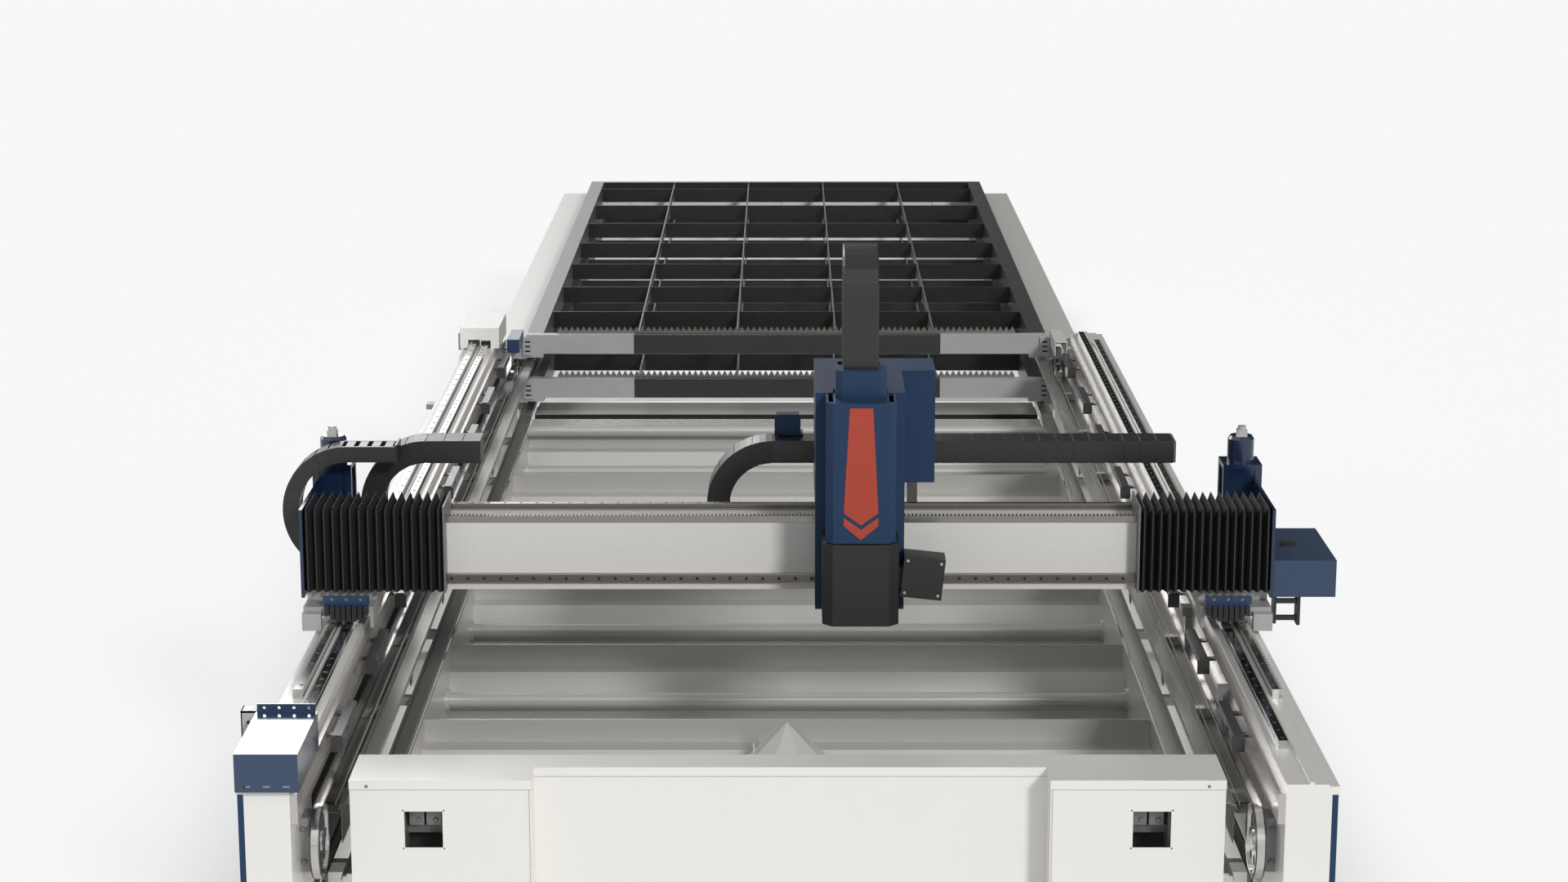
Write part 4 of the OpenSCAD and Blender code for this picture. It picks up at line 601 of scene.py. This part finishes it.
def add_rail_screws():
    """Screw caps of the linear rails and bolts of the racks, at the standard pitches."""
    rails, racks = span("y_rails"), span("y_racks")
    # The right caps take a lighter metal finish than the black left ones: painted highlight on that side
    for side, sign, slot, finish, radius in (("left", -1, "black_plastic", "black_cap_and_hole_shade", 0.0085),
                                             ("right", 1, "dark_steel", "rail_cap", 0.0055)):
        caps = Solids()
        for y in spread(rails[LOW][Y] + 0.03, rails[HIGH][Y] - 0.02, Y_SCREW_PITCH):
            caps.disc((sign * RAIL_X, y, rails[HIGH][Z]), radius, CAP_RISE, Z)
        for y in spread(racks[LOW][Y] + 0.05, racks[HIGH][Y] - 0.02, RACK_BOLT_PITCH):
            caps.disc((sign * RACK_BOLT_X, y, racks[HIGH][Z]), radius, CAP_RISE, Z)
        caps.piece("y_screws_" + side, FINISH[finish], "machine_bed", slot)
    front, rack = span("x_rails"), span("x_rack")
    caps = Solids()
    for x in spread(-X_SCREW_REACH, X_SCREW_REACH, X_SCREW_PITCH):
        caps.disc((x, front[LOW][Y], FRONT_RAIL_Z), FRONT_CAP_R, -CAP_RISE, Y)
        caps.disc((x, TOP_RAIL_Y, front[HIGH][Z]), TOP_CAP_R, CAP_RISE, Z)
    for x in spread(-X_BOLT_REACH, X_BOLT_REACH, RACK_BOLT_PITCH):
        caps.disc((x, rack[LOW][Y], rack[LOW][Z] + 0.008), X_BOLT_R, -CAP_RISE, Y)
    caps.piece("x_screws", FINISH["black_cap_and_hole_shade"], "gantry", "black_plastic")
    strip = Solids()
    strip.box((rack[LOW][X], rack[LOW][Y] - 0.0022, rack[LOW][Z] + 0.0005),
              (rack[HIGH][X], rack[LOW][Y] - 0.0002, rack[HIGH][Z] - 0.001))
    strip.piece("x_rack_strip", FINISH["strip_steel"], "gantry", "steel")


def add_cover_screws():
    """Lid screws of the front cover, bolts of the bearing plates and screws of the sensor box."""
    cover = span("front_cover")
    pins = Solids()
    for sign in (-1, 1):
        pins.disc((sign * (cover[HIGH][X] - LID_SCREW_IN), cover[LOW][Y], cover[HIGH][Z] - LID_SCREW_DOWN),
                  LID_SCREW_R, -0.0012, Y)
    pins.piece("lid_screws", FINISH["bolt_grey"], "machine_bed", "grey_metal")
    bolts = Solids()
    bolt_x = span("side_bars")[HIGH][X] - BEARING_BOLT_IN
    for sign in (-1, 1):
        for rise in (-BEARING_BOLT_RISE, BEARING_BOLT_RISE):
            x, z = sign * bolt_x, BELT_ZC + rise
            bolts.disc((x, WHEEL_Y - BEARING_FACE - 0.001, z), 0.0085, -0.008, Y, 6)
            bolts.disc((x, WHEEL_Y - BEARING_FACE, z), 0.0125, -0.003, Y, 20)
    bolts.piece("bearing_bolts", FINISH["bolt_grey"], "machine_bed", "grey_metal")
    sensor = span("sensor_box")
    pins = Solids()
    along, rise = math.cos(SENSOR_TURN), math.sin(SENSOR_TURN)
    for u, w in SENSOR_SCREWS:
        x = sensor[LOW][X] + SENSOR_CORNER + u * along + w * rise
        z = BEAM_TOP + SENSOR_FOOT - u * rise + w * along
        pins.disc((x, sensor[LOW][Y], z), SENSOR_SCREW_R, -0.002, Y)
    pins.piece("sensor_screws", FINISH["bolt_pale"], "z_slide", "steel")


# Bellows

FOLD_DEPTH, FOLD_STEPS, CLOTH = 0.040, 12, 0.003
FOLD_SHARPNESS = 0.985
FRAME = 0.006
RAIL_PLAY = 0.017


def fold(place):
    """Share of the fold depth at a place counted in half pleats: 1 on an inner fold, 0 on an outer one."""
    wave = math.asin(FOLD_SHARPNESS * math.cos(math.pi * place)) / math.asin(FOLD_SHARPNESS)
    return 0.5 + 0.5 * wave


def add_bellows():
    """Pleated cloth of the two bellows with rounded folds, its sewn edges and the inner end frames."""
    low, high = span("bellows")
    front, back, top = low[Y] + 0.004, high[Y], BELLOWS_TOP
    beam_low, beam_high = span("crossbeam")
    beam_front, beam_top = beam_low[Y], beam_high[Z]
    cloth, edges, frames = Solids(), Solids(), Solids()
    for sign, inner in ((-1, OPEN_LEFT), (1, OPEN_RIGHT)):
        start, run = inner + FRAME, CROSS_HALF - inner - FRAME
        rings = []
        for k in range(PLEATS * FOLD_STEPS + 1):
            x = sign * (start + run * k / (PLEATS * FOLD_STEPS))
            depth = FOLD_DEPTH * fold(2 * k / FOLD_STEPS)
            y, z = front + depth, top - depth
            rings.append([(x, y, low[Z]), (x, y, z), (x, back, z), (x, back, z - CLOTH),
                          (x, y + CLOTH, z - CLOTH), (x, y + CLOTH, low[Z])])
        cloth.loft(rings)
        for i in range(PLEATS):
            x = sign * (start + run * (i + 0.5) / PLEATS)
            edges.box((x - 0.0012, front - 0.0008, low[Z]), (x + 0.0012, front + 0.004, top))
            edges.box((x - 0.0010, front - 0.0008, top - 0.004), (x + 0.0010, back, top + 0.0006))
        x0, x1 = sorted((sign * inner, sign * (inner + FRAME)))
        for (y0, z0), (y1, z1) in (
                ((low[Y], low[Z]), (beam_front - 0.027, high[Z])),
                ((beam_front - 0.027, low[Z]), (beam_front, FRONT_RAIL_Z - RAIL_PLAY)),
                ((beam_front - 0.027, FRONT_RAIL_Z + RAIL_PLAY), (beam_front, beam_top)),
                ((beam_front - 0.027, beam_top), (beam_front + 0.004, high[Z])),
                ((beam_front + 0.004, beam_top + 0.028), (beam_front + 0.038, high[Z])),
                ((beam_front + 0.038, beam_top), (back, high[Z]))):
            frames.box((x0, y0, z0), (x1, y1, z1))
    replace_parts(cloth.piece("bellows_cloth", FINISH["bellows_cloth"], "gantry", "bellows_cloth"), "bellows")
    edges.piece("bellows_edging", FINISH["cloth_edge"], "gantry", "bellows_cloth")
    frames.piece("bellows_frames", FINISH["frame_grey"], "gantry", "bellows_cloth")


# Sheets and fittings of the bed

APRON_IN, APRON_DROP = 0.006, 0.034
FLANGE_REACH, TROUGH_DEPTH = 0.184, 0.060
APRON_STEP, APRON_RUN, APRON_FALL = 0.19, 0.20, 0.018
SHEET_WALL = 0.003
# Folded sheets along the tracks: distances from the machine's middle, and heights
WEB_X, WEB_Z = (1.4585, 1.4615), (0.600, 0.728)
SHELF_X, SHELF_Z, SHELF_START = (1.472, 1.552), (0.688, 0.691), 0.04
# Pale strips along the upper track's fold edges: painted highlights
FOLD_HIGHLIGHTS_X = ((1.4030, 1.4055), (1.4765, 1.4790))
LINER_X, LINER_Z = (1.5535, 1.5555), (0.430, 0.815)
TRACK_END = 0.045


def both_sides(near, far):
    """Low and high x of a strip on the left of the machine's middle, then of its twin on the right."""
    return (-far, -near), (near, far)


def add_window_fittings():
    """Plates, bolts and a rail seen through the front cover's windows, and near-black plates behind them that
    paint the shade inside.
    """
    cover = span("front_cover")
    parts = Solids()
    dark = Solids()
    for sign in (-1, 1):
        x, y, z = sign * WINDOW_X, cover[LOW][Y] + 0.085, WINDOW_Z
        for shift in (-0.031, 0.024):
            parts.box((x + shift - 0.024, y, z - 0.014), (x + shift + 0.024, y + 0.008, z + 0.10))
            parts.disc((x + shift + 0.006, y, z + 0.004), 0.0085, -0.006, Y, 6)
        parts.box((x - 0.10, y + 0.030, z - 0.050), (x + 0.10, y + 0.040, z - 0.024))
        parts.box((x - 0.075, y - 0.03, z - 0.10), (x - 0.064, y + 0.06, z + 0.10))
        parts.box((x + 0.058, y - 0.03, z - 0.10), (x + 0.069, y + 0.06, z + 0.10))
        # Near-black plate behind the fittings: painted shade inside the cover
        dark.box((x - 0.12, y + 0.110, z - 0.14), (x + 0.12, y + 0.114, z + 0.14))
    parts.piece("window_fittings", FINISH["bolt_grey"], "machine_bed", "grey_metal")
    dark.piece("window_shade_backs", FINISH["shadow_sheet"], "machine_bed", "dark_steel")


def add_end_apron():
    """Folded sheets between the last hopper and the exchange table, with a near-black trough between them
    that paints the shade of the gap.
    """
    hopper, table = span("hopper_panels"), span("exchange_frame")
    half = hopper[HIGH][X] - APRON_IN
    top = hopper[HIGH][Z] - APRON_DROP
    near, gap = hopper[HIGH][Y] + 0.002, table[LOW][Y] + 0.050
    step, under = gap + APRON_STEP, top - APRON_FALL
    sheet = Solids()
    sheet.box((-half, gap, top - SHEET_WALL), (half, step, top))
    sheet.box((-half, step, under - SHEET_WALL), (half, step + APRON_RUN, under))
    sheet.box((-half, step - SHEET_WALL, under), (half, step, top - SHEET_WALL))
    sheet.piece("end_apron", FINISH["hopper_sheet"], "machine_bed", "sheet_steel")
    flange = Solids()
    flange.box((-half, near, top - SHEET_WALL), (half, hopper[HIGH][Y] + FLANGE_REACH, top))
    flange.piece("end_flange", FINISH["beam_paint"], "machine_bed", "beam_paint")
    # Near-black trough in the gap: painted shade
    trough = Solids()
    floor = top - TROUGH_DEPTH
    trough.box((-half, near, floor - SHEET_WALL), (half, gap, floor))
    trough.box((-half, gap, floor - SHEET_WALL), (half, gap + SHEET_WALL, top - SHEET_WALL))
    trough.piece("end_trough_shade", FINISH["shadow_sheet"], "machine_bed", "dark_steel")


def add_track_sheets():
    """Webs between the two levels of track, shelves under the belts, pale strips along the fold edges that
    paint their highlights, and beam liners that paint shade on the left and light on the right.
    """
    tracks, beam = span("pallet_tracks"), span("side_bars")
    y0, y1 = tracks[LOW][Y], beam[HIGH][Y] - TRACK_END
    highlight_z = (tracks[HIGH][Z] - 0.010, tracks[HIGH][Z] - 0.0005)
    webs, edges = Solids(), Solids()
    for place, (z0, z1), start in ((WEB_X, WEB_Z, y0), (SHELF_X, SHELF_Z, y0 + SHELF_START)):
        for x0, x1 in both_sides(*place):
            webs.box((x0, start, z0), (x1, y1, z1))
    # Pale strips that paint the highlights on the fold edges
    for place in FOLD_HIGHLIGHTS_X:
        for x0, x1 in both_sides(*place):
            edges.box((x0, y0, highlight_z[LOW]), (x1, y1, highlight_z[HIGH]))
    # Liners on the beams' inner faces: near-black on the left as painted shade, pale on the right as painted
    # light
    painted_light_liners = (("left", "shadow_sheet"), ("right", "track_painted_light"))
    for (x0, x1), (side, finish) in zip(both_sides(*LINER_X), painted_light_liners):
        skin = Solids()
        skin.box((x0, y0, LINER_Z[LOW]), (x1, y1, LINER_Z[HIGH]))
        skin.piece("beam_painted_light_liner_" + side, FINISH[finish], "machine_bed", "sheet_steel")
    webs.piece("track_webs", FINISH["track_sheet"], "machine_bed", "sheet_steel")
    edges.piece("track_fold_highlights", FINISH["fold_highlight"], "machine_bed", "sheet_steel")


# Cable chains

def swept_links(points, sides, width, height, groove, gap):
    """Chain run as one solid: rectangular links along the points, which step in between links.
    sides(direction) gives the width and height directions there."""
    rings = []
    for k in range(len(points) - 1):
        a, b = Vector(points[k]), Vector(points[k + 1])
        run = (b - a).normalized()
        across, up = sides(run)
        for place, shrink in ((0.0, groove), (gap, groove), (gap, 0.0), (1.0 - gap, 0.0),
                              (1.0 - gap, groove), (1.0, groove)):
            if k and place == 0.0:
                continue
            centre = a.lerp(b, place)
            w, h, c = width / 2 - shrink, height / 2 - shrink, LINK_CHAMFER
            ring = []
            for u, v in ((-w, -h + c), (-w, h - c), (-w + c, h), (w - c, h),
                         (w, h - c), (w, -h + c), (w - c, -h), (-w + c, -h)):
                ring.append(tuple(centre + across * u + up * v))
            rings.append(ring)
    return rings


def straight(x0, x1, y, z, pitch):
    count = max(2, round(abs(x1 - x0) / pitch))
    return [(x0 + (x1 - x0) * i / count, y, z) for i in range(count + 1)]


# Half the length over which the lower run is meant to go from still to the head's full travel. The two ends
# worked out from it are not used.
LOWER_REACH = 1.0
X_GROOVE, Z_GROOVE, LINK_GAP, LINK_CHAMFER = 0.002, 0.0006, 0.02, 0.004
Z_LINK_P, Z_LEG_LINKS = 0.042, (8, 7)
LEFT_LINKS, LEFT_FINE = 14, 48
LEFT_WIDTH, LEFT_HEIGHT, LEFT_PLATE, LEFT_SLAT = 0.110, 0.060, 0.011, 0.003
LEFT_RADIUS, LEFT_START, LEFT_FLAT = 0.217, math.radians(-42), 0.180


def across_y(run):
    """Width and height directions of a chain that lies along the crossbeam."""
    return Vector((0, 1, 0)), Vector((0, 0, 1))


def across_x(run):
    """Width and height directions of a chain that bends in the Y-Z plane."""
    across = Vector((1, 0, 0))
    return across, across.cross(run)


def add_x_chain():
    """Upper and lower run of the X chain as link solids, in place of the CAD runs."""
    bend = span("x_chain_bend")
    y = (bend[LOW][Y] + bend[HIGH][Y]) / 2
    width, height = bend[HIGH][Y] - bend[LOW][Y], CHAIN_H
    upper, lower = span("x_chain_upper"), span("x_chain_lower")
    still, moved = lower[LOW][X] - LOWER_REACH, lower[LOW][X] + LOWER_REACH
    for name, box, start, end, bodies in (
            ("x_chain_upper_run", upper, upper[HIGH][X], upper[LOW][X], ("gantry", "x_chain_bend")),
            ("x_chain_lower_run", lower, still, moved, ("gantry", "head"))):
        z = (box[LOW][Z] + box[HIGH][Z]) / 2
        line = straight(box[LOW][X], box[HIGH][X], y, z, LINK_P)
        run = Solids()
        run.loft(swept_links(line, across_y, width, height, X_GROOVE, LINK_GAP))
        obj = run.piece(name, FINISH["chain"], None, "black_plastic")
        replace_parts(obj, name.replace("_run", ""))
        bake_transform(obj)


def add_z_chain():
    """Arch of the Z chain over the head as one link solid, from the X motor cover's top round to the Z
    cover's top, in place of the CAD chain.
    """
    low, high = span("z_chain")
    x = (low[X] + high[X]) / 2
    radius = (high[Y] - low[Y] - Z_CHAIN_H) / 2
    y = (low[Y] + high[Y]) / 2
    arch_z = high[Z] - radius - Z_CHAIN_H / 2
    front_z, back_z = span("z_cover")[HIGH][Z], span("x_motor_cover")[HIGH][Z]
    back, front = Z_LEG_LINKS
    points = [(x, y + radius, back_z + (arch_z - back_z) * i / back) for i in range(back + 1)]
    count = round(math.pi * radius / Z_LINK_P)
    for i in range(1, count + 1):
        turn = math.pi * i / count
        points.append((x, y + radius * math.cos(turn), arch_z + radius * math.sin(turn)))
    points += [(x, y - radius, arch_z + (front_z - arch_z) * i / front) for i in range(1, front + 1)]
    chain = Solids()
    chain.loft(swept_links(points, across_x, high[X] - low[X], Z_CHAIN_H, Z_GROOVE, LINK_GAP))
    obj = chain.piece("z_chain_arch", FINISH["chain"], None, "black_plastic")
    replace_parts(obj, "z_chain")
    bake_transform(obj)


def add_left_chain():
    """Open-link chain at the gantry's left: side plates joined by crossbars, with the floor seen between."""
    low, high = span("left_cable_chain")
    y0, y1 = low[Y], low[Y] + LEFT_WIDTH
    cx, cz, radius, height, flat = -RAIL_X - 0.050, BEAM_TOP + 0.345, LEFT_RADIUS, LEFT_HEIGHT, LEFT_FLAT
    arc = (math.pi / 2 - LEFT_START) * radius
    step = (arc + flat) / LEFT_LINKS

    def place(s):
        """Point and direction at that distance along the chain."""
        angle = LEFT_START + s / radius
        if angle < math.pi / 2:
            return (Vector((cx - radius * math.cos(angle), 0, cz + radius * math.sin(angle))),
                    Vector((math.sin(angle), 0, math.cos(angle))))
        return Vector((cx + s - arc, 0, cz + radius)), Vector((1, 0, 0))

    def slab(solids, centre, run, half_run, half_height, shift, ya, yb):
        """Plate across the chain, turned with it."""
        up = Vector((-run.z, 0, run.x))
        corners = []
        for u, v in ((-half_run, -half_height), (half_run, -half_height),
                     (half_run, half_height), (-half_run, half_height)):
            corners.append(centre + run * u + up * (v + shift))
        solids.loft([[(c.x, y, c.z) for c in corners] for y in (ya, yb)])

    links = Solids()
    for ya, yb in ((y0, y0 + LEFT_PLATE), (y1 - LEFT_PLATE, y1)):
        rings = []
        for k in range(LEFT_FINE + 1):
            centre, run = place((arc + flat) * k / LEFT_FINE)
            up = Vector((-run.z, 0, run.x)) * (height / 2)
            inner, outer = centre - up, centre + up
            rings.append([(inner.x, ya, inner.z), (outer.x, ya, outer.z), (outer.x, yb, outer.z),
                          (inner.x, yb, inner.z)])
        links.loft(rings)
    for k in range(LEFT_LINKS):
        centre, run = place((k + 0.5) * step)
        closed = (k + 1) * step < arc
        slab(links, centre, run, step * 0.44, height / 2 - 0.008, 0.0, y0 - 0.0015, y0)
        for shift in (-height / 2 + 0.0035, height / 2 - 0.0035):
            half_run = step * (0.5 if closed else 0.31)
            slab(links, centre, run, half_run, LEFT_SLAT, shift, y0 + 0.004, y1 - 0.004)
    last, run = place(arc + flat - 0.02)
    slab(links, last, run, 0.024, height / 2 - 0.006, 0.0, y0 - 0.003, y0 - 0.0005)
    links.box((cx + flat, y0, cz + radius - 0.036), (cx + flat + 0.008, high[Y], cz + radius + 0.036))
    tail, run = place(0.0)
    links.box((tail.x - 0.02, y0, tail.z - 0.012), (-CROSS_HALF - 0.012, y1, tail.z))
    obj = links.piece("left_chain_links", FINISH["chain"], "gantry", "black_plastic")
    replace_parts(obj, "left_cable_chain")


# Trim

SEAM_DROP, SEAM_HALF, FOLD_SEAM_HALF = 0.031, 0.0009, 0.0007
SKIN_X = (1.7005, 1.7195)
SLOT_X, SLOT_HALF, SLOT_R, SLOT_DROPS = 1.408, 0.011, 0.0045, (0.036, 0.062, 0.088)
CLAMP_LOW, CLAMP_HIGH = (-0.048, -4.390, BEAM_TOP + 0.588), (0.051, -4.335, BEAM_TOP + 0.678)
CLAMP_SHEET = 0.004
TABLE_END_Z, TABLE_LIP, TABLE_POSTS = (0.210, 0.810), 0.010, (-1.105, 0.0, 1.105)
POST_HALF, POST_DEPTH = 0.030, 0.012
BRACKET_X, BRACKET_Z, BRACKET_DEPTH = (-1.768, -1.716), (0.935, 1.066), 0.060


def add_cover_seams():
    """Seams of the front cover's lid and its corner folds."""
    cover = span("front_cover")
    y, z = cover[LOW][Y], cover[HIGH][Z] - SEAM_DROP
    seams = Solids()
    for x0, x1, face in ((cover[LOW][X], RECESS_X[0], y), (RECESS_X[0], RECESS_X[1], y + RECESS_D),
                         (RECESS_X[1], cover[HIGH][X], y)):
        seams.box((x0 + 0.001, face - 0.0004, z - SEAM_HALF), (x1 - 0.001, face + 0.001, z + SEAM_HALF))
    for x in (RECESS_X[0] - 0.006, RECESS_X[1] + 0.006):
        seams.box((x - FOLD_SEAM_HALF, y - 0.0004, cover[LOW][Z]), (x + FOLD_SEAM_HALF, y + 0.001, z))
    seams.piece("cover_seams", FINISH["seam"], "machine_bed", "cream_paint")


def add_side_skins():
    """Outer skins of the blue side panels."""
    panel = span("side_panels")
    skins = Solids()
    for x0, x1 in both_sides(*SKIN_X):
        skins.box((x0, panel[LOW][Y] - 0.001, panel[LOW][Z]), (x1, panel[HIGH][Y], panel[HIGH][Z]))
    skins.piece("side_skins", FINISH["blue_paint"], "machine_bed", "blue_paint")


def add_bracket_slots():
    """Near-black marks for the slots in the front plates of the pallets' corner brackets, painting the shade
    inside them.
    """
    for level in ("upper", "lower"):
        frame_low, frame_high = span(level + "_pallet_frame")
        slots = Solids()
        for sign in (-1, 1):
            for drop in SLOT_DROPS:
                x, y, z = sign * SLOT_X, frame_low[Y], frame_high[Z] - drop
                slots.box((x - SLOT_HALF, y - 0.0006, z - SLOT_R), (x + SLOT_HALF, y + 0.001, z + SLOT_R))
                for end in (-SLOT_HALF, SLOT_HALF):
                    slots.disc((x + end, y + 0.001, z), SLOT_R, -0.0016, Y)
        slots.piece(level + "_bracket_slots", FINISH["black_cap_and_hole_shade"], level + "_pallet", "black_plastic")


def add_chain_clamp():
    """Folded bracket that holds the X chain's run, with two near-black discs at its foot that paint the shade
    in its holes.
    """
    low, high, sheet = CLAMP_LOW, CLAMP_HIGH, CLAMP_SHEET
    bracket = Solids()
    bracket.box(low, (high[X], low[Y] + sheet, high[Z] - 0.012))
    bracket.box((low[X] + 0.006, low[Y], high[Z] - 0.012), (high[X] - 0.006, high[Y], high[Z] - 0.008))
    for x in (low[X], high[X] - sheet):
        bracket.box((x, low[Y] + sheet, low[Z]), (x + sheet, high[Y], high[Z] - 0.030))
    bracket.piece("chain_clamp", FINISH["blue_paint"], "gantry", "blue_paint")
    # Near-black discs for the holes: painted shade
    holes = Solids()
    for x in (low[X] + 0.022, high[X] - 0.022):
        holes.disc((x, low[Y], low[Z] + 0.014), 0.006, -0.001, Y)
    holes.piece("chain_clamp_holes", FINISH["black_cap_and_hole_shade"], "gantry", "black_plastic")


def add_table_end():
    """Sheet with three posts that closes the exchange table's far end, seen through the pallets."""
    table, panels = span("exchange_frame"), span("exchange_panels")
    half, y = table[HIGH][X] - 0.004, panels[HIGH][Y] - 0.004
    foot, top = TABLE_END_Z
    end = Solids()
    end.box((-half, y, foot), (half, y + SHEET_WALL, top))
    end.box((-half, y - TABLE_LIP, top - TABLE_LIP), (half, y, top))
    for x in TABLE_POSTS:
        end.box((x - POST_HALF, y - POST_DEPTH, foot), (x + POST_HALF, y, top - TABLE_LIP))
    end.piece("table_end_sheet", FINISH["cream_paint"], "machine_bed", "cream_paint")


def add_small_brackets():
    """Outer bracket beside the near left cover, with a near-black disc that paints the shade in its hole."""
    cover = span("left_end_cover")
    plate = Solids()
    y, (x0, x1), (z0, z1) = cover[HIGH][Y], BRACKET_X, BRACKET_Z
    plate.box((x0, y, z0), (x1, y + 0.004, z1))
    plate.box((x0, y, z1 - 0.006), (x1, y + BRACKET_DEPTH, z1))
    plate.box((x0, y, z0), (x0 + 0.004, y + BRACKET_DEPTH, z1))
    plate.piece("outer_bracket", FINISH["bracket_grey"], "machine_bed", "grey_metal")
    dot = Solids()
    dot.disc((x0 + 0.024, y, z1 - 0.038), 0.0065, -0.001, Y)
    dot.piece("outer_bracket_hole", FINISH["black_cap_and_hole_shade"], "machine_bed", "black_plastic")


make_camera()
make_world()
make_lights()
make_floor()
FINISH = slot_materials()
dress_nodes(FINISH)
add_rail_screws()
add_cover_screws()
add_bellows()
add_window_fittings()
add_end_apron()
add_x_chain()
add_z_chain()
add_left_chain()
add_small_brackets()
add_cover_seams()
add_side_skins()
add_bracket_slots()
add_chain_clamp()
add_track_sheets()
add_table_end()
